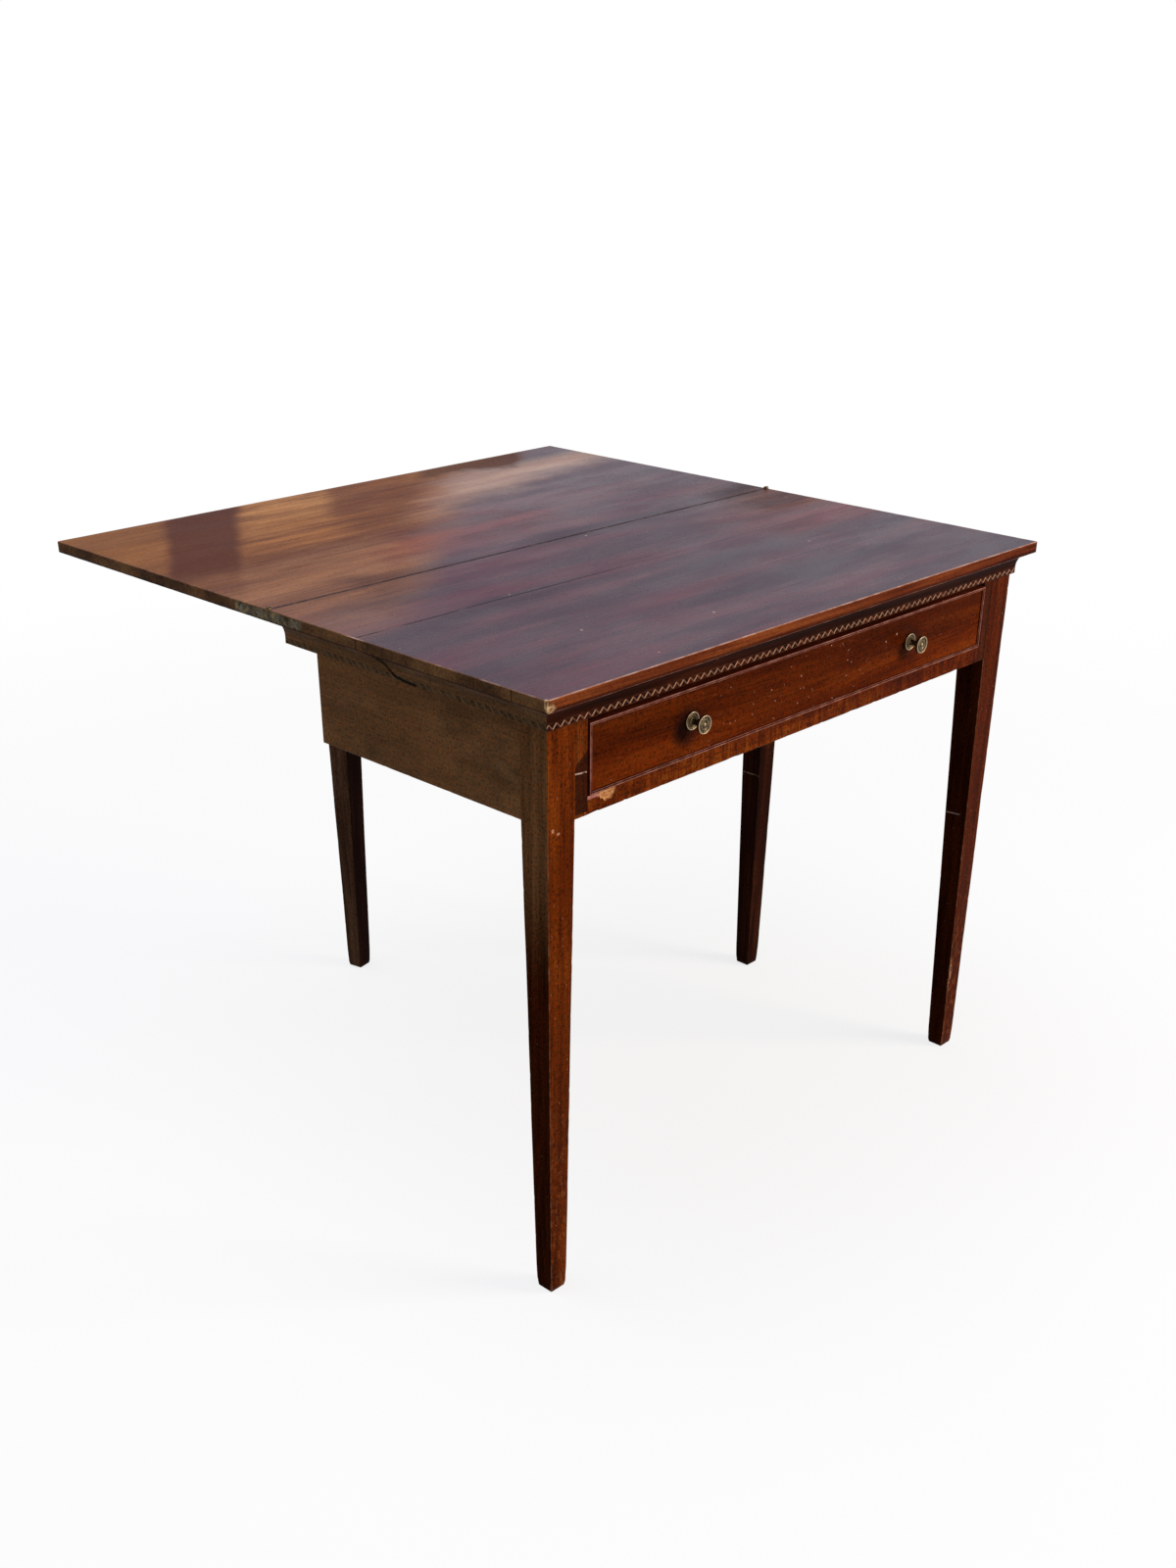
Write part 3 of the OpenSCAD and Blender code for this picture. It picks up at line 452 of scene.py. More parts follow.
def laid_over(tree, base, grain, *layers):
    """Tints laid over base in turn. A layer is its mask or a tuple of the mask's factors, its
    tint, and its blend mode where that isn't MIX. A tint is a colour, a node, or three tones
    spread over the grain."""
    for factors, tint, *mode in layers:
        share = mask(tree, *factors) if isinstance(factors, tuple) else factors
        if isinstance(tint, tuple):
            tint = put(tree, "ValToRGB", grain, tones=tint)
        elif isinstance(tint, str):
            tint = colour(tint)
        base = put(tree, "layer", share, named={6: base, 7: tint},
                   blend_type=mode[0] if mode else "MIX")
    return base


def pattern(tree, at, size, low, high, detail=3.0, shift=0.0, twist=0.0):
    """A mask from noise whose lumps measure `size` mm along x, y and z: 0 where the noise is under
    low, 1 where it is over high."""
    place = put(tree, "Mapping", at, (shift, shift * 1.7, shift * 0.6), (0, 0, 0),
                [1000 / s for s in size])
    noise = put(tree, "TexNoise", place, named={"Scale": 1.0, "Detail": detail,
                                                "Roughness": 0.55, "Distortion": twist})
    return put(tree, "step", noise, low, high)


def nicks(tree, at, size, share, reach, turn=(0, 0, 0), shift=0.0):
    """A mask of scattered marks: in a pattern of cells `size` mm wide, this share of the cells
    has a mark, which fills `reach` of its cell."""
    turned = put(tree, "Mapping", at, (0, 0, 0), turn)
    place = put(tree, "Mapping", turned, (shift,) * 3, (0, 0, 0), [1000 / s for s in size])
    cells = put(tree, "TexVoronoi", place, named={"Scale": 1.0})
    near = put(tree, "MapRange", cells, reach, reach * 0.7)
    draw = put(tree, "SeparateColor", cells.outputs["Color"])
    return mask(tree, near, put(tree, "MapRange", draw, 1 - share, 1.01 - share))


def span(tree, value, low, high, soft):
    """A mask that is 1 where value lies between low and high, fading over soft."""
    return mask(tree, (value, low - soft, low + soft), (value, high - soft, high + soft, 1, 0))


def wood(name, along, tints, width=16, length=260, streak=1.7, ribbon=0.0, pores=0.35,
         gloss=(0.32, 0.44), shine=0.03, edge_tint="#8a5a36", edge=0.5, marks=((9, 9, 14), 0.15),
         mark_tint="#c9b3a4", turn=0.0, cast="#ffffff", grit=0.0, film=None, extra=None):
    """Wood with its grain along one axis. tints are the dark, middle and light tones. width and
    length (mm) are the size of the broad colour bands, streak the width of the fine grain, ribbon
    the strength of a curled figure across it. marks are the cell size and share of small pale
    nicks, cast the tint of the polish and grit the strength of fine light specks. film is the
    tint of a bloom on the polish that shows at low angles. extra may lay more tints over the
    colour and change the shine."""
    def sized(long, wide):
        """Sizes of a pattern that runs along the grain."""
        return [long if axis == along else wide for axis in "xyz"]

    material, tree, raw = fresh(name)
    at = put(tree, "Mapping", raw, (0, 0, 0), (0, 0, turn))
    bend = put(tree, "TexNoise", at, named={"Scale": 3.0, "Detail": 1.0})
    sway = put(tree, "VectorMath", bend.outputs["Color"], (0.02, 0.02, 0.02), at,
               operation="MULTIPLY_ADD")
    broad = pattern(tree, sway, sized(length, width), 0.28, 0.72)
    fine = pattern(tree, sway, sized(streak * 55, streak), 0.25, 0.75, 4.0, 3.1)
    grain = put(tree, "blend", 0.42, named={2: broad, 3: fine})
    if ribbon:
        curl = pattern(tree, sway, sized(9, 60), 0.3, 0.7, 2.0, 7.7, 1.5)
        grain = put(tree, "blend", ribbon, named={2: grain, 3: curl})
    pore = pattern(tree, sway, sized(9, 0.9), 0.56, 0.70, 2.0, 5.3)
    wear = put(tree, "Attribute", attribute_name="wear")
    tint = laid_over(tree, put(tree, "ValToRGB", grain, tones=tints), grain,
                     ((pore, pores), tints[0], "MULTIPLY"),
                     ((nicks(tree, raw, *marks, 0.13), 0.75), mark_tint))
    if extra:
        tint, shine = extra(tree, raw, tint, grain, shine)
    if grit:
        specks = pattern(tree, raw, (3, 3, 3), 0.46, 0.66, 2.0, 6.1)
        dark = pattern(tree, raw, (3, 3, 3), 0.50, 0.34, 2.0, 1.4)
        tint = laid_over(tree, tint, grain, ((specks, grit), "#ffd0a0", "SOFT_LIGHT"),
                         ((dark, grit), "#100400", "SOFT_LIGHT"))
    patches = pattern(tree, raw, (14, 14, 14), 0.42, 0.62, 4.0, 9.1)
    tint = laid_over(tree, tint, grain, ((wear, edge), edge_tint),
                     ((patches, wear, edge), mark_tint))
    worn_polish = pattern(tree, raw, sized(150, 40), 0.3, 0.7, 4.0, 2.2)
    relief = put(tree, "Bump", named={"Strength": 0.25, "Distance": 0.0002,
                                      "Height": put(tree, "SUBTRACT", fine, pore)})
    sheen = {"Sheen Weight": 1.0, "Sheen Roughness": 0.5, "Sheen Tint": colour(film or cast)}
    shader = put(tree, "BsdfPrincipled", named={
        "Base Color": tint, "Roughness": put(tree, "step", worn_polish, 0, 1, *gloss),
        "IOR": 1.5, "Specular IOR Level": shine, "Specular Tint": colour(cast),
        "Normal": relief, **(sheen if film else {})})
    put(tree, "OutputMaterial", shader)
    return material


def metal(name, tints, rough, size, dirt=0.7, rim="#b9aa90"):
    """Old metal: tone mottled over `size` mm, dirt in patches and rubbed bright on its rims."""
    material, tree, raw = fresh(name)
    tone = pattern(tree, raw, (size, size, size), 0.3, 0.7, 5.0)
    patches = pattern(tree, raw, (size * 0.7,) * 3, 0.52, 0.70, 4.0, 4.4)
    wear = put(tree, "Attribute", attribute_name="wear")
    tint = laid_over(tree, put(tree, "ValToRGB", tone, tones=tints), tone,
                     ((patches, dirt), "#1c150c"), ((wear, 0.8), rim))
    relief = put(tree, "Bump", named={"Strength": 0.2, "Distance": 0.0001, "Height": tone})
    shader = put(tree, "BsdfPrincipled", named={
        "Base Color": tint, "Roughness": put(tree, "step", patches, 0, 1, *rough),
        "Metallic": 1.0, "Normal": relief})
    put(tree, "OutputMaterial", shader)
    return material


# Pieces

def place_piece(obj, material, body, node):
    """Finish, slot, body and the CAD node that a new piece stands for."""
    obj.data.materials.append(material)
    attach(obj, body)
    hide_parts(node)


def dress(material, *nodes):
    """CAD nodes that keep their own mesh get a better finish."""
    for node in nodes:
        for held in frame["nodes"][node].material_slots:
            held.material = material


def drawn_in(ring, by):
    """The ring scaled in its own plane so that its edges lie `by` mm further in."""
    low, high = ring.min(0), ring.max(0)
    middle, half = (low + high) / 2, (high - low) / 2
    factor = np.where(half > 0, 1 - by / np.maximum(half, 1), 1)
    return (middle + (ring - middle) * factor)[None]


def make_leaf(node, body, seed):
    """One leaf: plan outlines stacked over its thickness, with a worn arris all round, pockets
    for the hinge plates at both ends and, on the fixed leaf, a broken front left corner."""
    low, high = mm(node)
    fixed = body == "frame"
    away = -1 if fixed else 1
    half, depth = high[0], max(-low[1], high[1])
    near = np.r_[EDGE_ROWS, np.arange(18, half, 6.0)]
    xs = np.unique(np.r_[low[0] + near, high[0] - near].round(3))
    ys = np.r_[KNUCKLE_Y, KNUCKLE_Y + SHARP, POCKET_Y, POCKET_Y + SHARP, np.arange(8, 61, 4.0),
               np.arange(66, depth - 15, 6.0), depth - EDGE_ROWS]
    ys = np.sort(away * np.unique(ys.round(3)))
    cuts = [POCKET_Z[0], POCKET_Z[0] + SHARP, POCKET_Z[1] - SHARP, POCKET_Z[1]]
    t, inset = stations(low[2], high[2], 1.0, 2.5, cuts)
    flat, out, _ = outlines(t, inset, low[0], high[0], low[1], high[1], 1.4, (xs, ys, xs, ys))
    p = stand(flat, t, "z")
    seam = out[..., 1] * away < -0.5
    rub = 0.35 * lumps(p, 45, seed) + 1.6 * np.clip(lumps(p, 6, seed + 1) - 0.5, 0, None)
    push = np.where(seam, -0.3 + 0.3 * lumps(p, 9, seed + 2), rub) * inset[:, None]
    p[..., :2] -= out * push[..., None]
    # The left edge's pale arris line is kept only at a place by the shake and further on, rubbed
    # wear that also stands for painted highlights; elsewhere the line is left out
    bare = ease(20, 10, np.abs(p[..., 1] + 152))
    stretch = 0.5 * ease(110, 70, np.abs(p[..., 1] + 350)) * ease(-0.4, 0.3, lumps(p, 9, 17))
    kept_arris_line = np.where(out[..., 0] < -0.5, 0.1 + 0.9 * np.maximum(bare, stretch), 1)
    swell = (inset > 0) * np.sin(np.pi * np.clip(inset, 0, 0.9))
    wear = swell[:, None] * np.where(seam, 0.15, 1.0) * kept_arris_line
    chip = np.zeros(flat.shape[:2])
    if fixed:
        d = np.min([np.linalg.norm((p - middle) / size, axis=-1)
                    for middle, size in CORNER_CHIPS], 0)
        chip = ease(1.0, 0.55, d + 0.35 * lumps(p, 4, 61))
        p += chip[..., None] * np.array((0.6, 1.5, 0.0))
    y, z = np.abs(p[..., 1]), t[:, None]
    above, below = z > POCKET_Z[0] + SHARP / 2, z < POCKET_Z[1] - SHARP / 2
    cut = (y < POCKET_Y + SHARP / 2) & above & below | (y < KNUCKLE_Y + SHARP / 2) & above
    cut &= np.abs(p[..., 0]) > POCKET_X
    p[..., 0] = np.where(cut, np.sign(p[..., 0]) * POCKET_X, p[..., 0])
    p = np.concatenate([drawn_in(p[0], 16), drawn_in(p[0], 2), p, drawn_in(p[-1], 2),
                        drawn_in(p[-1], 16)])
    side = np.broadcast_to((inset < 0.95)[:, None] * 1.0, chip.shape)
    inner = ((2, 2), (0, 0))
    obj = loft(node + "_board", p, wear=np.pad(wear * ~cut, inner), chip=np.pad(chip, inner),
               side=np.pad(side, inner))
    place_piece(obj, TOP, body, node)


def gate_turned(points):
    """What is drawn closed, turned about the gate's pin to the place where the table shows it."""
    turn = math.radians(-GATE_OPEN)
    c, s = math.cos(turn), math.sin(turn)
    q = points[..., :2] - PIVOT
    spun = np.stack([c * q[..., 0] - s * q[..., 1], s * q[..., 0] + c * q[..., 1]], -1) + PIVOT
    return np.concatenate([spun, points[..., 2:]], -1)


def make_leg(node, body, sx, sy, seed):
    """A square leg, straight where the frame joins it and tapered below on its two inner faces,
    which lie sx and sy from its outer corner. The gate's leg is lapped at its top and turned."""
    low, high = mm(node)
    gate = body == "gate"
    x, y = SHUT_CORNER if gate else (low[0] if sx > 0 else high[0], low[1] if sy > 0 else high[1])
    shoulder = APRON_Z - 1 if gate else APRON_Z
    t, inset = stations(0, high[2], 1.2, 5.0, [shoulder - SHARP, shoulder])
    inset = inset + 1.6 * ease(4.5, 0, t) ** 2
    w = FOOT_W + (LEG_W - FOOT_W) * np.clip(t / APRON_Z, 0, 1)
    x0, x1 = np.minimum(x, x + sx * w), np.maximum(x, x + sx * w)
    y0, y1 = np.minimum(y, y + sy * w), np.maximum(y, y + sy * w)
    r = worn(t, 0.9, seed, 0.8) + 1.6 * ease(30, 0, t)[:, None]
    if gate:
        y0 = np.where(t > shoulder - SHARP / 2, SHUT_LAP_Y, y0)
    else:
        own = {(1, 1): 0, (-1, 1): 1, (-1, -1): 2, (1, -1): 3}[(sx, sy)]
        r = np.where((t > APRON_Z)[:, None] & (np.arange(4) != own), 0.3, r)
    flat, out, arris = outlines(t, inset, x0, x1, y0, y1, r)
    p = stand(flat, t, "z")
    free = (t < APRON_Z)[:, None]
    p[..., :2] -= out * ((0.12 * lumps(p, 60, seed + 5) + 0.06) * free)[..., None]
    foot = ease(14, 0, t)[:, None] * np.clip(lumps(p, 5, seed + 3) + 0.1, 0, None) * arris
    p[..., :2] -= out * (2.0 * foot)[..., None]
    heading = np.arctan2(out[..., 1], out[..., 0]) - (math.radians(GATE_OPEN) if gate else 0)
    # dull marks faces turned to the left, which the front legs' finish paints in shade; away marks
    # faces turned from the camera, which the back legs' painted shade leaves out
    obj = loft(node + ("_turned" if gate else "_post"), gate_turned(p) if gate else p,
               wear=np.clip(arris * np.where(free, 1.0, 0.15), 0, 1),
               dull=np.cos(heading) < -0.9,
               away=0.62 * np.cos(heading) + 0.60 * np.sin(heading) > 0)
    place_piece(obj, LEG_WOOD[node], body, node)


def make_left_apron(node):
    """The left side of the frame, with three dovetail sockets for the inner back rail."""
    low, high = mm(node)
    pitch = (high[2] - low[2]) / 3
    centre = low[2] + pitch * (np.arange(3) + 0.5)
    root, deep = pitch / 4.8 + PLAY, 14 + PLAY
    flare = root + deep * 0.17
    places = (centre[:, None] + np.array([-root, 0.02 - root, root - 0.02, root])).ravel()
    start = BACK_RAIL_Y[0] - PLAY
    t, inset = stations(FRONT_Y + LEG_W, high[1], 0.35, 6.0, [start - SHARP, start])
    flat, _, arris = outlines(t, inset, low[0], high[0], low[2], high[2], worn(t, 0.5, 21, 0.8),
                              ((), places, (), ()))
    first = 2 * (ARC + 1)
    cut = (t > start - SHARP / 2)[:, None, None, None]
    notch = flat[:, first:first + 12].reshape(len(t), 3, 4, 2)
    shape = np.stack([np.full((3, 4), high[0]) - np.array([0, deep, deep, 0]),
                      centre[:, None] + np.array([-root, -flare, flare, root])], -1)
    flat[:, first:first + 12] = np.where(cut, shape, notch).reshape(len(t), 12, 2)
    obj = loft(node + "_board", stand(flat, t, "y"), wear=rubbed_ends(arris, inset))
    place_piece(obj, SIDE, "frame", node)


def make_right_apron(node):
    """The right side of the frame, between its two legs."""
    low, high = mm(node)
    low[1], high[1] = FRONT_Y + LEG_W, REAR_Y - LEG_W
    obj = board(node + "_board", "y", low, high, 0.5, 21, 0.8)
    place_piece(obj, SIDE, "frame", node)


def make_lower_rail(node):
    """The rail under the drawer: its front is a veneer that has broken away at the upper left."""
    low, high = mm(node)
    rows = np.arange(low[2] + 1.5, high[2] - 1, 1.3)
    places = np.r_[np.arange(-364, -300, 0.8), np.arange(-300, 364, 5.0)]
    t, inset = stations(-STILE_X, STILE_X, 0.35, 400.0, places)
    flat, out, arris = outlines(t, inset, low[1], high[1], low[2], high[2],
                                worn(t, 0.7, 31, 1.6), ((), (), (), rows))
    p = stand(flat, t, "x")
    edge = np.interp(p[..., 0], *zip(*VENEER_EDGE)) + 1.8 * lumps(p * (1, 0, 1), 3.2, 33)
    chip = (out[..., 0] < -0.5) * ease(edge - 0.6, edge + 0.6, p[..., 2])
    p[..., 1] += 1.1 * chip
    obj = loft(node + "_board", p, wear=rubbed_ends(arris, inset), chip=chip)
    place_piece(obj, CROTCH, "frame", node)


def make_stile(node):
    """An upright veneered piece between a front leg and the drawer."""
    obj = board(node + "_post", "z", *mm(node), 0.35, 41, 0.6)
    place_piece(obj, STILE, "frame", node)


def moulding_profile():
    """(distance out, height, wear) round the moulding: a flat band with the rope's groove, a
    quirk, the hollow as an arc and the square edge under the leaf."""
    ends = np.array([(ROPE_OUT, HOLLOW_Z[0]), (MOULDING_OUT, HOLLOW_Z[1])])
    chord = ends[1] - ends[0]
    size = np.linalg.norm(chord)
    rise = math.sqrt(HOLLOW_R ** 2 - size ** 2 / 4)
    centre = ends.mean(0) + rise * np.array([chord[1], -chord[0]]) / size
    turn = np.arctan2(*(ends - centre).T[::-1]) % (2 * np.pi)
    sweep = np.linspace(*turn, 12)[1:-1]
    hollow = centre + HOLLOW_R * np.stack([np.cos(sweep), np.sin(sweep)], 1)
    band, out, low, top = ROPE_OUT, MOULDING_OUT, MOULDING_Z, HOLLOW_Z[1]
    rows = [(0, low, 0), (band - 0.3, low, 1), (band - 0.05, low + 0.2, 1), (band, low + 0.5, 1),
            (band, ROPE_Z[0] - 0.05, 0.3), (band - ROPE_DEEP, ROPE_Z[0], 0),
            (band - ROPE_DEEP, ROPE_Z[1], 0),
            (band, ROPE_Z[1] + 0.05, 0.5), (band, ROPE_Z[1] + 0.6, 0.5)]
    rows += np.pad(hollow, ((0, 0), (0, 1))).tolist()
    rows += [(out - 0.2, top, 1), (out, top + 0.3, 1), (out, UNDER_TOP, 0), (0, UNDER_TOP, 0)]
    return np.array(rows)


OUTWARD = {"front": (0, -1, 0), "left": (-1, 0, 0), "right": (1, 0, 0)}


def run_along(which, profile, places):
    """A profile (distance out, height) carried along the front, left or right of the frame. Each
    point's own ends lie in the mitre planes, and places run from 0 to 1 between them."""
    out, height = profile[:, 0], profile[:, 1]
    f = places[:, None]
    if which == "front":
        x = (SIDE_X + out) * (2 * f - 1)
        y = np.broadcast_to(FRONT_Y - out, x.shape)
    else:
        y = FRONT_Y - out + f * (MOULDING_END_Y - FRONT_Y + out)
        x = np.broadcast_to(OUTWARD[which][0] * (SIDE_X + out), y.shape)
    return np.stack([x, y, np.broadcast_to(height, x.shape)], -1)


def split_mask(p):
    """1 near the split that runs down the left moulding."""
    y, z = p[..., 1], p[..., 2]
    best = np.full(y.shape, 1e9)
    for (y0, z0), (y1, z1) in zip(SPLIT[:-1], SPLIT[1:]):
        f = np.clip(((y - y0) * (y1 - y0) + (z - z0) * (z1 - z0)) /
                    ((y1 - y0) ** 2 + (z1 - z0) ** 2), 0, 1)
        best = np.minimum(best, np.hypot(y - y0 - f * (y1 - y0), z - z0 - f * (z1 - z0)))
    return ease(SPLIT_HALF, SPLIT_HALF * 0.5, best)


def make_cornice(which, seed):
    """One length of the moulding. The left one is split."""
    out, _, arris = moulding_profile().T
    places = np.linspace(0, 1, 180 if which == "front" else 90)
    if which == "left":
        places = np.unique(np.r_[places, np.linspace(0.45, 0.72, 230)].round(5))
    p = run_along(which, moulding_profile(), places)
    nick = 1.5 * np.clip(lumps(p, 5, seed) - 0.5, 0, None) + 0.12 * lumps(p, 40, seed + 1)
    p -= np.array(OUTWARD[which]) * (arris * nick)[..., None]
    split = np.zeros(p.shape[:2])
    if which == "left":
        split = split_mask(p)
        p[..., 0] += 1.4 * split * (out > 1)
    obj = loft(which + "_cornice_moulding", p, wear=np.broadcast_to(arris, split.shape) * 0.8,
               chip=split)
    material, slot = {"front": (FRAME_WOOD, "mahogany_frame")}.get(
        which, (SIDE_MOULDING, "mahogany_side"))
    place_piece(obj, material, "frame", which + "_cornice")


def make_rope(which):
    """The rope inlay: a strip with a fine zigzag that stands a hair above it. On the left the
    split of the moulding runs on through it."""
    z0, z1 = STRIP_Z
    back = ROPE_OUT - ROPE_DEEP
    face = [(ROPE_OUT, z) for z in np.linspace(z0, z1, 13)]
    profile = np.array([(back, z0), *face, (back, z1)])
    length = 2 * (SIDE_X + ROPE_OUT) if which == "front" else MOULDING_END_Y - FRONT_Y + ROPE_OUT
    p = run_along(which, profile, np.linspace(0, 1, int(length / 0.7)))
    shows = profile[:, 0] > back
    height = (p[..., 2] - z0) / (z1 - z0)
    line = np.abs(2 * ((p[..., 0 if which == "front" else 1] / ROPE_PITCH) % 1) - 1)
    lift = 0.12 * np.exp(-((height - line) / 0.2) ** 2) * shows
    split = split_mask(p) * shows if which == "left" else np.zeros(p.shape[:2])
    p += np.array(OUTWARD[which]) * (lift - 0.9 * split)[..., None]
    obj = loft(which + "_rope_strip", p, chip=split)
    place_piece(obj, ROPE[which], "frame", which + "_rope_inlay")


def reeded_profile(width):
    """(distance from the drawer's edge, distance out, brightness) of the bead: two fine reeds, pale
    along their crests, partly rubbed wear and partly painted highlight, and a quirk."""
    turn = np.linspace(np.pi, 0, 13)
    rows = [(0, -5, 0), (0, 0.6, 0)]
    for centre, r, base, bright in ((width * 0.27, width * 0.26, 1.0, 1.0),
                                    (width * 0.76, width * 0.22, 0.7, 0.6)):
        rows += np.stack([centre + r * np.cos(turn), base + r * np.sin(turn),
                          bright * np.sin(turn) ** 8], 1).tolist()
    return np.array(rows + [(width, 0.3, 0), (width, -5, 0)])


def make_bead(side, seed):
    """One length of the bead round the drawer front, cut to its mitres."""
    u, v, bright = reeded_profile(BEAD_W).T
    level = side in ("top", "bottom")
    a, b = (0, 2) if level else (2, 0)
    f = np.linspace(0, 1, 150 if level else 24)[:, None]
    p = np.empty((len(f), len(u), 3))
    p[..., a] = DRAWER_LOW[a] + u + f * (DRAWER_HIGH[a] - DRAWER_LOW[a] - 2 * u)
    p[..., b] = DRAWER_HIGH[b] - u if side in ("top", "right") else DRAWER_LOW[b] + u
    p[..., 1] = FRONT_Y - v
    crown = np.clip(v / 1.6, 0, 1)
    p[..., 1] += crown * (0.5 * np.clip(lumps(p, 6, seed) - 0.45, 0, None) + 0.05)
    obj = loft(f"drawer_{side}_bead_strip", p, wear=np.broadcast_to(bright, p.shape[:2]))
    place_piece(obj, BEAD, "drawer", f"drawer_{side}_bead")


def softened(rows, r=0.35, steps=5):
    """A profile whose corners are rounded: each is swapped for a short curve that starts and ends
    r mm away from it, or nearer where the next corner is close."""
    rows = np.asarray(rows, float)
    done = [rows[:1]]
    for a, b, c in zip(rows[:-2], rows[1:-1], rows[2:]):
        la, lc = np.linalg.norm(a - b), np.linalg.norm(c - b)
        pa = b + (a - b) / la * min(r, la * 0.45)
        pc = b + (c - b) / lc * min(r, lc * 0.45)
        f = np.linspace(0, 1, steps)[:, None]
        done.append((1 - f) ** 2 * pa + 2 * f * (1 - f) * b + f ** 2 * pc)
    return np.vstack(done + [rows[-1:]])


def make_knob(side):
    """Turned brass knob and its dished rose: profiles (radius, distance out) from radius r,
    thickness t of the rose and height h of the knob."""
    low, high = mm(side + "_knob_rose")
    centre = np.array([(low[0] + high[0]) / 2, FRONT_Y, (low[2] + high[2]) / 2])
    r, t, h = 10.6, 2.4, 20.0
    rose = [(0.03, 0.05), (r, 0.05), (r, 1.6), (r - 0.5, t), (r - 1.3, t), (r - 2.1, 1.3),
            (7.2, 1.15), (6.7, 2.1), (5.7, 2.1), (5.2, 1.2), (0.03, 1.1)]
    knob = [(0.03, 1.0), (5.0, 1.2), (5.0, 2.2), (4.0, 3.3), (3.3, 6.0), (3.3, 8.5),
            (4.0, 11.8), (6.2, 14.4), (9.8, 15.6), (r, 16.6), (r, h - 0.8), (r - 0.5, h),
            (r - 1.2, h), (r - 1.9, h - 1.3), (6.6, h - 1.4), (6.2, h - 0.6), (4.9, h - 0.6),
            (4.4, h - 1.4), (2.7, h - 1.4), (2.2, h - 0.5), (1.2, h + 0.05), (0.03, h + 0.2)]
    for piece, rows, least in (("_knob_rose", rose, t - 0.4), ("_knob", knob, h - 0.9)):
        rows = softened(rows)
        bright = ease(least, least + 0.4, rows[:, 1]) * (0.35 + 0.65 * ease(7, 9, rows[:, 0]))
        bright = np.maximum(bright, (rows[:, 0] < 1.3) * (rows[:, 1] > h - 0.6))
        place_piece(lathe(side + piece + "_turned", centre, rows, bright), BRASS,
                    "drawer", side + piece)


# What the finishes of this table add to plain wood. Places are in metres.

# FAN_FROM is the camera's place in plan; the painted reflection bands of the top fan out from it.
FAN_FROM = (-1.55, -1.571)        # where the bands of the top fan out from
END_LINES_Y = (-0.276, 0.1207)    # middle between two dark lines in each end, and half their gap


def top_zones(tree, x, y, drift):
    """Masks of the parts of the top's polish, by name, most of them painted reflections. The bands
    fan out from the camera's place in plan, beyond the front left corner, and are measured in
    radians;
    drift makes their borders wander."""
    fan = put(tree, "ARCTAN2", put(tree, "ADD", y, -FAN_FROM[1]),
              put(tree, "ADD", x, -FAN_FROM[0]))
    fan = put(tree, "MULTIPLY_ADD", drift, 0.012, fan)
    edge = put(tree, "MULTIPLY_ADD", y, 0.094, fan)
    edge = put(tree, "MULTIPLY_ADD", drift, 0.03, edge)
    depth = put(tree, "MULTIPLY_ADD", drift, 0.12, y)
    aside = put(tree, "MULTIPLY_ADD", drift, 0.25, x)
    slant = put(tree, "MULTIPLY_ADD", fan, 0.9, depth)
    golden = mask(tree, (edge, 0.848, 0.892), (y, -0.24, 0.10))
    return {
        "golden": golden,
        "band": mask(tree, span(tree, fan, 0.970, 1.010, 0.004), (depth, 0.05, 0.22)),
        "dusk": mask(tree, span(tree, fan, 0.868, 0.912, 0.012), (y, 0.15, 0.25)),
        "glow": mask(tree, span(tree, fan, 0.918, 0.968, 0.006), (depth, 0.22, 0.42)),
        "gold_reflection_muted": mask(tree, golden, (y, 0.23, 0.13), (y, 0.0, 0.06), 0.5),
        "outer": mask(tree, (fan, 1.008, 1.018)),
        "glare": mask(tree, (edge, 0.912, 0.872), span(tree, slant, 1.01, 1.15, 0.05),
                     span(tree, y, 0.1, 0.385, 0.02)),
        "rear": mask(tree, (depth, 0.378, 0.405), span(tree, fan, 0.806, 0.866, 0.006)),
        "slate": mask(tree, span(tree, aside, -0.34, 0.09, 0.05),
                      span(tree, depth, -0.20, 0.04, 0.04)),
        "far": mask(tree, (aside, 0.12, 0.22), span(tree, depth, 0.02, 0.13, 0.04)),
        "wine": largest(
            tree, mask(tree, (aside, 0.14, 0.30), span(tree, depth, -0.21, -0.05, 0.04)),
            mask(tree, span(tree, aside, -0.16, 0.12, 0.05), span(tree, depth, 0.06, 0.18, 0.04))),
        "brown": mask(tree, (aside, 0.28, 0.39), span(tree, depth, -0.11, 0.05, 0.04)),
        "front": mask(tree, (depth, -0.28, -0.36), (aside, 0.25, 0.05))}


def top_painted_reflections(tree, raw, y, tint, grain, zone):
    """The plum polish with painted reflections: gold on the left between darker bands, a greyer
    slate middle and a pale glare along the back. Wine-red and brown patches lie on the right."""
    figure = pattern(tree, raw, (120, 34, 34), 0.42, 0.66, 4.0, 5.2)
    streaks = pattern(tree, raw, (110, 8, 8), 0.42, 0.65, 3.0, 2.2)
    golden = zone["golden"]
    return laid_over(
        tree, tint, grain, (golden, ("#683d20", "#85542c", "#a46d3a")),
        ((zone["glow"], 0.65), "#bc8852"), ((zone["dusk"], 0.5), "#65381a"),
        (zone["gold_reflection_muted"], "#83604c"), ((golden, (y, 0.06, 0.20), figure, 0.45), "#5a3218"),
        ((golden, streaks, 0.40), "#b09080", "MULTIPLY"), ((zone["band"], 0.9), "#4e250b"),
        ((zone["outer"], 0.5), "#7c5026"), ((zone["slate"], golden), "#c0b4b0", "MULTIPLY"),
        ((zone["wine"], 0.55), ("#4a1f22", "#5c2a2c", "#7a3a38")),
        ((zone["brown"], 0.8), ("#2c130c", "#4a2618", "#6b4028")),
        ((zone["glare"], 0.95), ("#7a5848", "#8f6c5c", "#a8866f")), ((zone["rear"], 0.9), "#543012"))


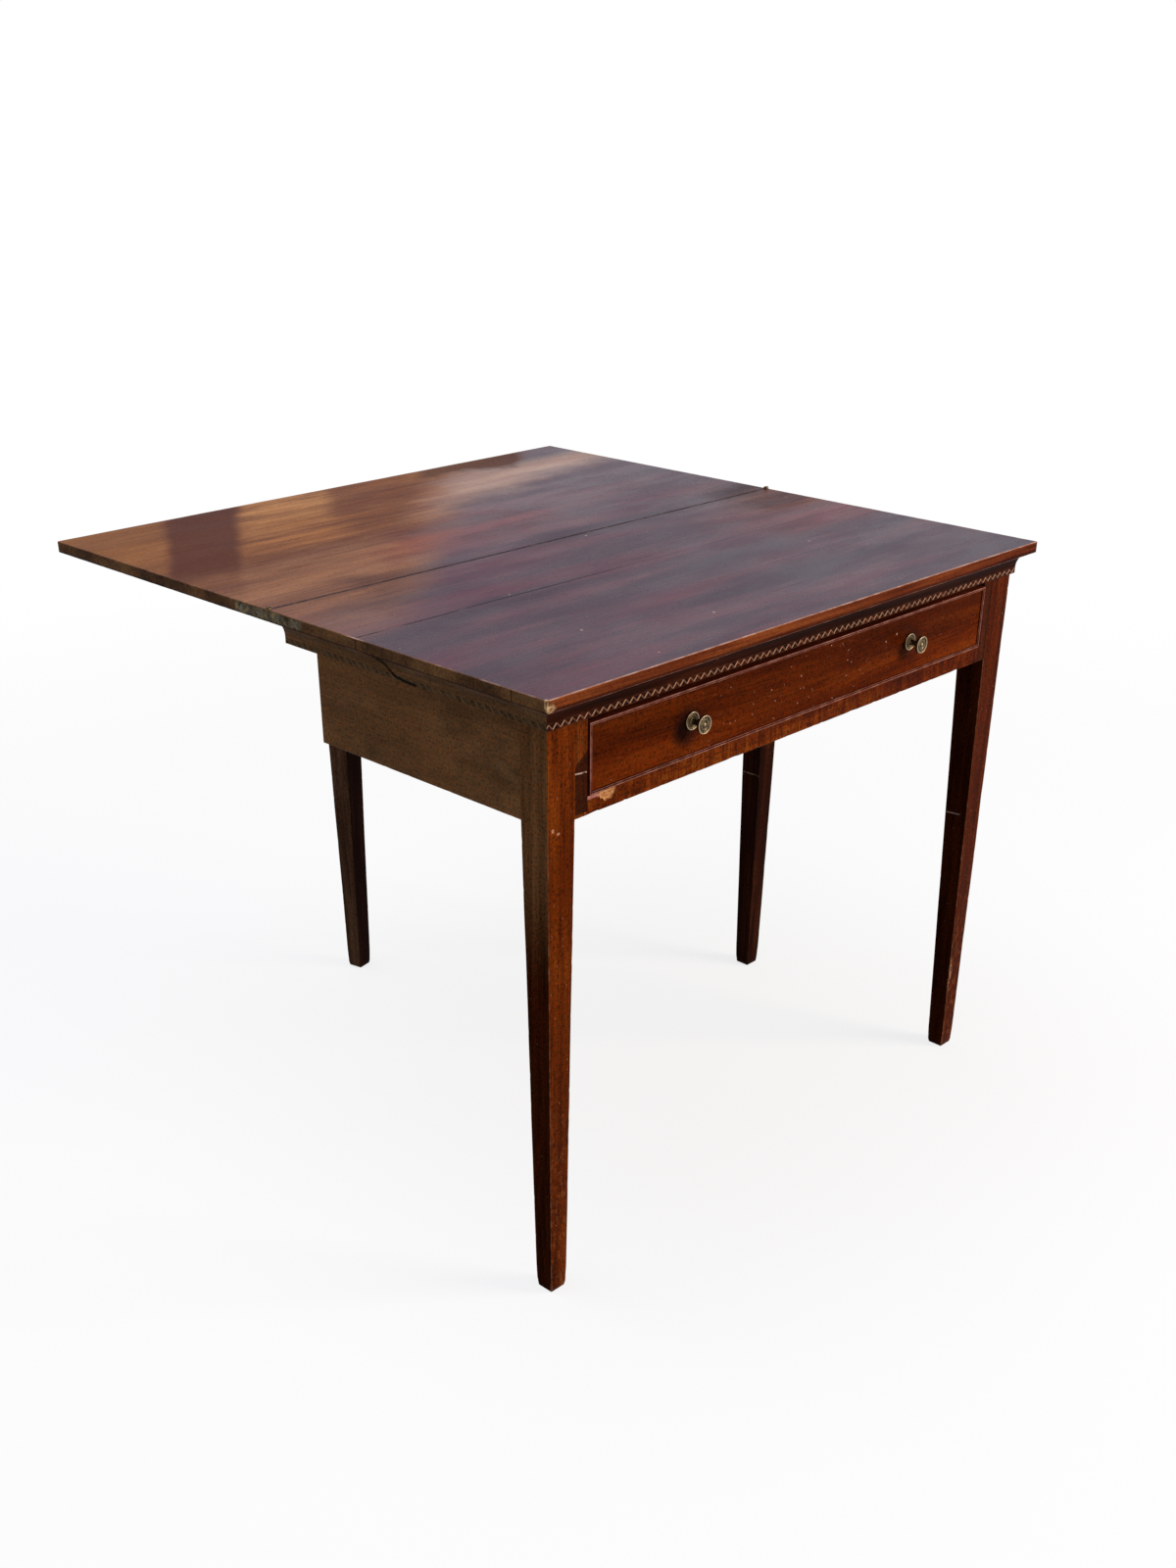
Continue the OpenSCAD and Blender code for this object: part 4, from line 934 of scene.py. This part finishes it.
def top_bare(tree, raw, wander, tint, grain):
    """Bare brown edges, darker low down and with a dark line along the foot of the ends, both
    painted shade under the leaf; two dark lines in each end, the pale broken corner, the shake, the
    dirty joint and the plain undersides. Also gives the masks of shake, joint, edges and
    undersides."""
    x, y, z = put(tree, "SeparateXYZ", raw).outputs
    side = put(tree, "Attribute", attribute_name="side")
    chip = put(tree, "Attribute", attribute_name="chip")
    waver = put(tree, "MULTIPLY_ADD", wander, 0.008, y)
    shake = mask(tree, span(tree, waver, -0.1513, -0.1487, 0.0010),
                 pattern(tree, raw, (90, 400, 400), 0.34, 0.44, 3.0, 8.8),
                 (x, 0.06, -0.10, 0.35, 0.95))
    seam = mask(tree, (put(tree, "ABSOLUTE", y), 0.0034, 0.0014))
    under = mask(tree, put(tree, "LESS_THAN", z, 0.7318), put(tree, "SUBTRACT", 1.0, side))
    ends = mask(tree, side, put(tree, "GREATER_THAN", put(tree, "ABSOLUTE", x), 0.4435))
    lines = put(tree, "ABSOLUTE", put(tree, "ADD", y, -END_LINES_Y[0]))
    lines = put(tree, "ABSOLUTE", put(tree, "SUBTRACT", lines, END_LINES_Y[1]))
    broken = put(tree, "ValToRGB", pattern(tree, raw, (4, 4, 4), 0.3, 0.7),
                 tones=("#7d5838", "#c7a277", "#dcc09a"))
    tint = laid_over(
        tree, tint, grain, (shake, "#120907"), (side, ("#401a0c", "#6c3216", "#8e4d25")),
        # The darker foot of the edges and the dark line at the foot of the ends are painted shade
        ((side, (z, 0.7365, 0.7335), 0.65), "#2a0f07"), (ends, ("#3b2917", "#5b4026", "#785835")),
        ((ends, (z, 0.7335, 0.7320), 0.8), "#150c06"), ((ends, (lines, 0.0008, 0.0004)), "#140c06"),
        (chip, broken), (seam, "#0d0605"), (under, ("#3a180d", "#572a17", "#703c22")))
    return tint, (seam, shake, side), under


def top_extra(tree, raw, tint, grain, shine):
    """The old polish of the top, its painted reflections and what lies bare. The polish is dull
    where gold and dark reflections are painted and on the bare parts, weaker in the zones on the
    right and a little cloudy all over."""
    x, y, _ = put(tree, "SeparateXYZ", raw).outputs
    wander = put(tree, "TexNoise", raw, named={"Scale": 9.0, "Detail": 4.0})
    zone = top_zones(tree, x, y, put(tree, "ADD", wander, -0.5))
    tint = top_painted_reflections(tree, raw, y, tint, grain, zone)
    tint, bare, under = top_bare(tree, raw, wander, tint, grain)
    dull = mask(tree, largest(tree, zone["golden"], zone["rear"], *bare),
                put(tree, "SUBTRACT", 1.0, mask(tree, under, 0.6)))
    quiet = largest(tree, *[mask(tree, zone[name], share) for name, share in (
        ("slate", 0.42), ("brown", 0.85), ("wine", 0.42), ("far", 0.3))])
    clouds = pattern(tree, raw, (150, 90, 90), 0.3, 0.7, 4.0, 3.7)
    polish = mask(tree, put(tree, "SUBTRACT", 1.0, dull), put(tree, "SUBTRACT", 1.0, quiet),
                  put(tree, "MULTIPLY_ADD", zone["front"], 0.22, 1.0),
                  (clouds, 0, 1, 0.80, 1.20), (grain, 0.2, 0.8, 0.95, 1.05), shine)
    return tint, put(tree, "ADD", polish, 0.002)


def chip_extra(tree, raw, tint, grain, shine):
    """Pale wood where the veneer has broken away, pink at the thin left part. The rail is darker
    towards the right, a painted shade.
    """
    x = put(tree, "SeparateXYZ", raw)
    chip = put(tree, "Attribute", attribute_name="chip")
    pale = put(tree, "ValToRGB", pattern(tree, raw, (7, 7, 3), 0.3, 0.7),
               tones=("#b87c4c", "#cf9866", "#e0b283"))
    bare = laid_over(tree, pale, grain, (((x, -0.344, -0.350),), "#b98078"))
    # The rail darkened towards the right is painted shade
    return laid_over(tree, tint, grain, (((x, -0.15, 0.35),), "#c9b0a4", "MULTIPLY"),
                     (chip, bare)), shine


def side_extra(tree, raw, tint, grain, shine):
    """Dull side: old dirt in clouds, and the black split in the moulding."""
    dirt = pattern(tree, raw, (70, 60, 45), 0.42, 0.68, 4.0, 6.6)
    dust = pattern(tree, raw, (90, 70, 30), 0.50, 0.75, 3.0, 1.2)
    split = put(tree, "Attribute", attribute_name="chip")
    return laid_over(tree, tint, grain, ((dirt, 0.45), "#3c2c1b"), ((dust, 0.35), "#8a6a4a"),
                     (split, "#050302")), shine


def leg_extra(tree, raw, tint, grain, shine):
    """Left faces of the front legs: nearly black below the frame, a painted shade, and dull brown
    beside it; their gloss is turned down. The right leg is darker all over and the left one in a
    band under the frame, also painted shade; both legs are lighter and warmer higher up, most on
    the left. Scuffs and grime near the floor, a scratch on the right leg, two chips on the left
    one."""
    x, y, z = put(tree, "SeparateXYZ", raw).outputs
    dull = put(tree, "Attribute", attribute_name="dull")
    right = put(tree, "GREATER_THAN", x, 0.0)
    front = put(tree, "LESS_THAN", y, -0.4235)
    beside = mask(tree, (z, 0.40, 0.59), put(tree, "LESS_THAN", x, -0.2))
    dark = put(tree, "ValToRGB", grain, tones=("#1d0a03", "#331406", "#451d0a"))
    faced = laid_over(tree, dark, grain, (beside, ("#523a23", "#6a4a2e", "#7d5a3a")))
    shaded = span(tree, z, 0.47, 0.59, 0.05)
    streak = nicks(tree, raw, (5, 5, 30), 0.35, 0.08, (0.12, 0.2, 0), 0.4)
    scuffs = pattern(tree, raw, (6, 6, 11), 0.50, 0.66, 4.0, 7.1)
    grime = pattern(tree, raw, (12, 12, 30), 0.48, 0.70, 4.0, 2.9)
    slope = put(tree, "MULTIPLY_ADD", y, 0.07, z)
    scratch = mask(tree, span(tree, slope, 0.3437, 0.3455, 0.0006),
                   span(tree, y, -0.414, -0.391, 0.002), dull, right)
    chips = largest(tree, *[
        mask(tree, span(tree, x, x0, x1, 0.0008), span(tree, z, z0, z1, 0.0008))
        for x0, x1, z0, z1 in ((-0.4185, -0.4150, 0.5925, 0.5965),
                               (-0.4105, -0.4065, 0.5880, 0.5905))])
    rubbed = mask(tree, span(tree, z, 0.10, 0.145, 0.01), span(tree, x, 0.394, 0.402, 0.002), front)
    # Gloss turned down on the left faces that are painted in shade
    matt = put(tree, "SUBTRACT", 1.0, mask(tree, dull, 0.9))
    return laid_over(
        tree, tint, grain,
        (((z, 0.30, 0.66), (x, 0.3, -0.3, 0.1, 0.75)), ("#57240a", "#78360b", "#8f4d16")),
        # Painted shade: the right leg darker, and the left leg in a band under the frame
        (right, "#d8c6bc", "MULTIPLY"),
        ((shaded, put(tree, "LESS_THAN", x, 0.0)), "#d1bfb0", "MULTIPLY"),
        ((grime, (z, 0.40, 0.10), 0.7), "#331205"), ((scuffs, (z, 0.34, 0.06), 0.7), "#824a26"),
        # Painted shade: the left faces nearly black below the frame
        (dull, faced), ((streak, 0.5), "#b08a78"),
        ((scratch, pattern(tree, raw, (4, 4, 4), 0.3, 0.5), 0.8), "#b09890"),
        ((chips, front, 0.8), "#c99a80"),
        ((rubbed, pattern(tree, raw, (3, 3, 9), 0.45, 0.60), 0.8), "#b88a6a")
    ), mask(tree, matt, shine)


def rear_extra(tree, raw, tint, grain, shine):
    """The base tones paint the shade of the top on the faces the camera sees; the faces turned from
    the camera are a plainer brown. A pale scratch crosses the left face."""
    x, _, z = put(tree, "SeparateXYZ", raw).outputs
    dull = put(tree, "Attribute", attribute_name="dull")
    away = put(tree, "Attribute", attribute_name="away")
    scratch = mask(tree, span(tree, z, 0.3320, 0.3340, 0.0006), dull,
                   put(tree, "GREATER_THAN", x, 0.2), pattern(tree, raw, (5, 5, 5), 0.35, 0.5))
    return laid_over(tree, tint, grain, (away, ("#34170b", "#4d2412", "#65341b")),
                     (scratch, "#8f7568")), shine


def gate_extra(tree, raw, tint, grain, shine):
    """The swinging leg's left face is greyer than the rest."""
    tint, shine = rear_extra(tree, raw, tint, grain, shine)
    dull = put(tree, "Attribute", attribute_name="dull")
    return laid_over(tree, tint, grain, (dull, ("#2c1d14", "#4a3426", "#614a39"))), shine


def stile_extra(tree, raw, tint, grain, shine):
    """The dark new piece let into the left stile, with the pale scratch across it. The right stile
    is darker, a painted shade, and nearly black where it meets the leg, a painted shadow in the
    gap."""
    x, _, z = put(tree, "SeparateXYZ", raw).outputs
    patch = mask(tree, (put(tree, "MULTIPLY_ADD", x, -0.75, z), 0.9450, 0.9420),
                 put(tree, "LESS_THAN", x, 0.0), (z, 0.6005, 0.6030))
    slope = put(tree, "MULTIPLY_ADD", x, 0.10, z)
    scratch = mask(tree, span(tree, slope, 0.6082, 0.6098, 0.0003),
                   put(tree, "LESS_THAN", x, -0.3672),
                   pattern(tree, raw, (3, 3, 3), 0.35, 0.5, 2.0))
    # The right stile's darkening and its black strip by the leg are painted shade
    return laid_over(tree, tint, grain, (((x, 0.0, 0.1),), "#aea0b6", "MULTIPLY"),
                     (((x, 0.3795, 0.3820), 0.7), "#1a0803"), ((patch, 0.85), "#2a1008"),
                     (scratch, "#cbb0ab")), shine


def drawer_extra(tree, raw, tint, grain, shine):
    """Grime round the knobs, more orange wood along the bottom, scratches and white nicks."""
    x, _, z = put(tree, "SeparateXYZ", raw).outputs
    side = put(tree, "ABSOLUTE", x)
    across, up = (put(tree, "POWER", put(tree, "SUBTRACT", value, middle), 2.0)
                  for value, middle in ((side, 0.211), (z, 0.655)))
    near = put(tree, "SQRT", put(tree, "ADD", across, up))
    middle = span(tree, x, -0.17, 0.10, 0.05)
    fleck = nicks(tree, raw, (9, 9, 9), 0.55, 0.11, shift=0.21)
    line = nicks(tree, raw, (5, 9, 26), 0.35, 0.10, (0, 0.35, 0), 0.4)
    level = nicks(tree, raw, (40, 9, 3), 0.30, 0.14, (0, 0.06, 0), 0.9)
    return laid_over(
        tree, tint, grain,
        (((z, 0.675, 0.630), (side, 0.05, 0.30, 0.35, 0.8)), ("#501a05", "#682907", "#7d380d")),
        (((near, 0.030, 0.012), (x, 0.5, -0.2, 0.3, 0.75)), "#1d0f0d"),
        ((fleck, middle, 0.8), "#c9a39b"), ((line, middle, 0.6), "#b98e85"),
        ((level, 0.35), "#92594a")), shine


def rope_finish(name, axis, tints, pale):
    """Rope stringing: a pale zigzag in darker wood. Strokes that rise along the axis are bright,
    the others fainter, and grime hides some of them."""
    material, tree, raw = fresh(name)
    place = put(tree, "SeparateXYZ", raw).outputs
    height = put(tree, "MapRange", place["Z"], *(STRIP_Z / 1000).tolist())
    turn = put(tree, "FRACT", put(tree, "MULTIPLY", place[axis], 1000 / ROPE_PITCH))
    line = put(tree, "ABSOLUTE", put(tree, "MULTIPLY_ADD", turn, 2.0, -1.0))
    off = put(tree, "ABSOLUTE", put(tree, "SUBTRACT", height, line))
    grimy = pattern(tree, raw, (30, 30, 9), 0.30, 0.52, 3.0, 2.5)
    tone = pattern(tree, raw, (9, 9, 9), 0.3, 0.7)
    zigzag = mask(tree, (off, 0.26, 0.12), (turn, 0.46, 0.56, 0.30, 1.0), (grimy, 0, 1, 0.55, 1))
    split = put(tree, "Attribute", attribute_name="chip")
    tint = laid_over(tree, put(tree, "ValToRGB", tone, tones=tints), tone, (zigzag, pale),
                     (split, "#050302"))
    shader = put(tree, "BsdfPrincipled", named={"Base Color": tint, "Roughness": 0.42,
                                                "Specular IOR Level": 0.02})
    put(tree, "OutputMaterial", shader)
    return material


bpy.context.scene.view_settings.view_transform = "Standard"
make_camera()
make_world()
make_floor()
lamp("key", (2.2, -3.4, 2.3), (0, -0.3, 0.55), 1.6, 150, "#fff3e4")
lamp("sky", (-0.6, 0.6, 3.4), (0, 0, 0.7), 2.6, 70, "#eef2ff")
lamp("fill", (-3.4, -1.0, 1.8), (0, -0.2, 0.5), 1.8, 14, "#f1f2ff")

# French-polished top: plum-brown under a soft gloss, streaks along the grain. Its blue cast is a
# painted sky reflection, and its gold, dark and pale bands are painted reflections.
TOP = wood("french_polished_mahogany_top", "x", ("#2a1325", "#3b1929", "#53212f"), width=48,
           length=330, streak=2.2, gloss=(0.22, 0.30), shine=0.04, cast="#f6e6ff",
           edge_tint="#b58672", edge=0.85, mark_tint="#c9a596", marks=((14, 14, 14), 0.02),
           grit=0.3, film="#20293c", extra=top_extra)
# Dark moulding along the front, darkest in its hollow; its dark tones are partly painted shade
# under the overhanging leaf
FRAME_WOOD = wood("mahogany_moulding_painted_shade", "x", ("#180803", "#2d0f06", "#48200e"),
                  shine=0.01, edge_tint="#6a3a24", edge=0.35, mark_tint="#8d604a")
# The rail above the drawer stands in shadow: it is painted nearly black as that shadow
SHADOW_WOOD = wood("painted_shadow_mahogany_rail", "x", ("#030101", "#060302", "#0a0503"), shine=0.0,
                   marks=((9, 9, 14), 0.0))
# Front legs: warm red-brown with many white nicks
LEG_FRONT = wood("polished_mahogany_front_legs", "z", ("#421903", "#5f2806", "#76370e"), width=12,
                 shine=0.012, marks=((6, 6, 9), 0.25), edge_tint="#93573a", edge=0.45,
                 mark_tint="#b08066", grit=0.55, extra=leg_extra)
# Back legs: the same wood, painted nearly black for the shade of the top and brown on the faces
# turned from the camera
LEG_REAR = wood("painted_shade_mahogany_back_leg", "z", ("#150603", "#2a1007", "#40200f"), width=12,
                shine=0.008, marks=((6, 6, 13), 0.05), edge_tint="#3f2415", edge=0.3,
                mark_tint="#5f4030", grit=0.5, extra=rear_extra)
# The gate's leg: darker still, painted shade of the top, its left face greyer
LEG_GATE = wood("painted_shade_mahogany_gate_leg", "z", ("#100402", "#200b05", "#33180c"), width=12,
                shine=0.008, marks=((6, 6, 13), 0.05), edge_tint="#33200f", edge=0.3,
                mark_tint="#4a3526", grit=0.5, extra=gate_extra)
LEG_WOOD = {"front_left_leg": LEG_FRONT, "front_right_leg": LEG_FRONT,
            "rear_right_leg": LEG_REAR, "gate_leg": LEG_GATE}
# Sides: unpolished olive brown under old dirt
SIDE = wood("dull_mahogany_side", "y", ("#5d4329", "#6f4f32", "#7d5b3b"), width=40, length=200,
            shine=0.02, gloss=(0.42, 0.6), marks=((12, 12, 12), 0.05), edge_tint="#6b4f34",
            edge=0.25, mark_tint="#7d6244", grit=0.5, extra=side_extra)
SIDE_MOULDING = wood("dull_mahogany_side_moulding", "y", ("#463320", "#60462c", "#7a5a3a"),
                     gloss=(0.42, 0.6), edge=0.3, mark_tint="#8a7052", grit=0.5, extra=side_extra)
# Flame-figured veneer of the rail under the drawer: golden curls
CROTCH = wood("flame_mahogany_rail", "x", ("#451a05", "#682c0a", "#8a4911"), width=14, length=70,
              ribbon=0.4, shine=0.012, marks=((10, 10, 10), 0.05), edge=0.3, mark_tint="#a06a48",
              grit=0.6, extra=chip_extra)
# Veneer beside the drawer: orange brown
STILE = wood("veneered_mahogany_stile", "z", ("#3c1607", "#602b0c", "#7b4217"), shine=0.012,
             edge=0.15, mark_tint="#a06a48", grit=0.55, extra=stile_extra)
# Drawer front: deep red-brown
FACE = wood("drawer_mahogany_veneer", "x", ("#3a1404", "#4d1c04", "#612908"), width=22,
            shine=0.008, marks=((11, 11, 11), 0.06), grit=0.5, extra=drawer_extra)
# Bead: rubbed pinkish brown; the pale lines on its crests are partly painted highlights
BEAD = wood("cockbead_mahogany", "x", ("#2c0d06", "#43170c", "#5a2416"), edge_tint="#a5685a",
            edge=0.8, shine=0.01, mark_tint="#b88474", marks=((9, 9, 9), 0.05))
# Rope stringing: pale in dark wood in front, dusty and faint on the sides
DUSTY = ("#3f2c1a", "#503a24", "#604830")
ROPE = {"front": rope_finish("rope_inlay_front", "X", ("#1a0905", "#2c1009", "#42190d"), "#c08e70"),
        "left": rope_finish("rope_inlay_left", "Y", DUSTY, "#745b3f"),
        "right": rope_finish("rope_inlay_right", "Y", DUSTY, "#745b3f")}
# Plain inner woods: oak in the drawer, pine in the frame, beech in the wooden hinge
OAK_TONES = ("#5d4328", "#8d6b42", "#b08c5c")
PINE_TONES = ("#7a5730", "#a57d4b", "#c49d68")
BEECH_TONES = ("#7b5733", "#a67d50", "#bf9a6b")
OAK = wood("oak_lining", "y", OAK_TONES, gloss=(0.5, 0.7))
OAK_CROSS = wood("oak_lining_across", "x", OAK_TONES, gloss=(0.5, 0.7))
PINE = wood("pine_carcase", "x", PINE_TONES, gloss=(0.55, 0.75), pores=0.1)
PINE_CROSS = wood("pine_carcase_front_to_back", "y", PINE_TONES, gloss=(0.55, 0.75), pores=0.1)
BEECH = wood("beech_hinge_rail", "x", BEECH_TONES, gloss=(0.5, 0.7))
BEECH_GATE = wood("beech_fly_rail", "x", BEECH_TONES, gloss=(0.5, 0.7),
                  turn=math.radians(GATE_OPEN))
# Brass with brown dirt in its hollows; the hinge plates are darker and duller
BRASS = metal("aged_brass", ("#3b2f20", "#51432c", "#6c5b40"), (0.36, 0.52), 5, dirt=0.55,
              rim="#b0997c")
HINGE = metal("tarnished_hinge_brass", ("#2b2215", "#463a25", "#635537"), (0.45, 0.7), 10,
              dirt=0.6)
STEEL = metal("dark_screw_steel", ("#26231f", "#4a463f", "#6b665d"), (0.35, 0.6), 2,
              rim="#6f6a60")

make_leaf("fixed_leaf", "frame", 11)
make_leaf("folding_leaf", "folding_top", 12)
make_leg("front_left_leg", "frame", 1, 1, 51)
make_leg("front_right_leg", "frame", -1, 1, 52)
make_leg("rear_right_leg", "frame", -1, -1, 53)
make_leg("gate_leg", "gate", 1, -1, 54)
make_left_apron("left_side_apron")
make_right_apron("right_side_apron")
make_lower_rail("front_lower_rail")
make_stile("left_drawer_stile")
make_stile("right_drawer_stile")
for seed, which in enumerate(("front", "left", "right"), 71):
    make_cornice(which, seed)
    make_rope(which)
for seed, side in enumerate(("top", "bottom", "left", "right"), 81):
    make_bead(side, seed)
make_knob("left")
make_knob("right")

dress(HINGE, "left_hinge_fixed_plate", "right_hinge_fixed_plate", "left_hinge_flap_plate",
      "right_hinge_flap_plate", "leaf_hinge_pins")
dress(STEEL, "fixed_leaf_hinge_screws", "folding_leaf_hinge_screws", "gate_hinge_pin",
      "top_screws", "hinge_rail_screws")
dress(SHADOW_WOOD, "front_top_rail")
dress(FACE, "drawer_front")
dress(PINE, "inner_back_rail", "glue_blocks", "drawer_bottom")
dress(PINE_CROSS, "left_drawer_guide", "right_drawer_guide", "left_kicker", "right_kicker")
dress(BEECH, "fixed_hinge_rail")
dress(BEECH_GATE, "fly_rail")
dress(OAK, "left_drawer_runner", "right_drawer_runner", "drawer_left_side", "drawer_right_side")
dress(OAK_CROSS, "drawer_stops", "drawer_back")
dress(BRASS, "knob_nuts")
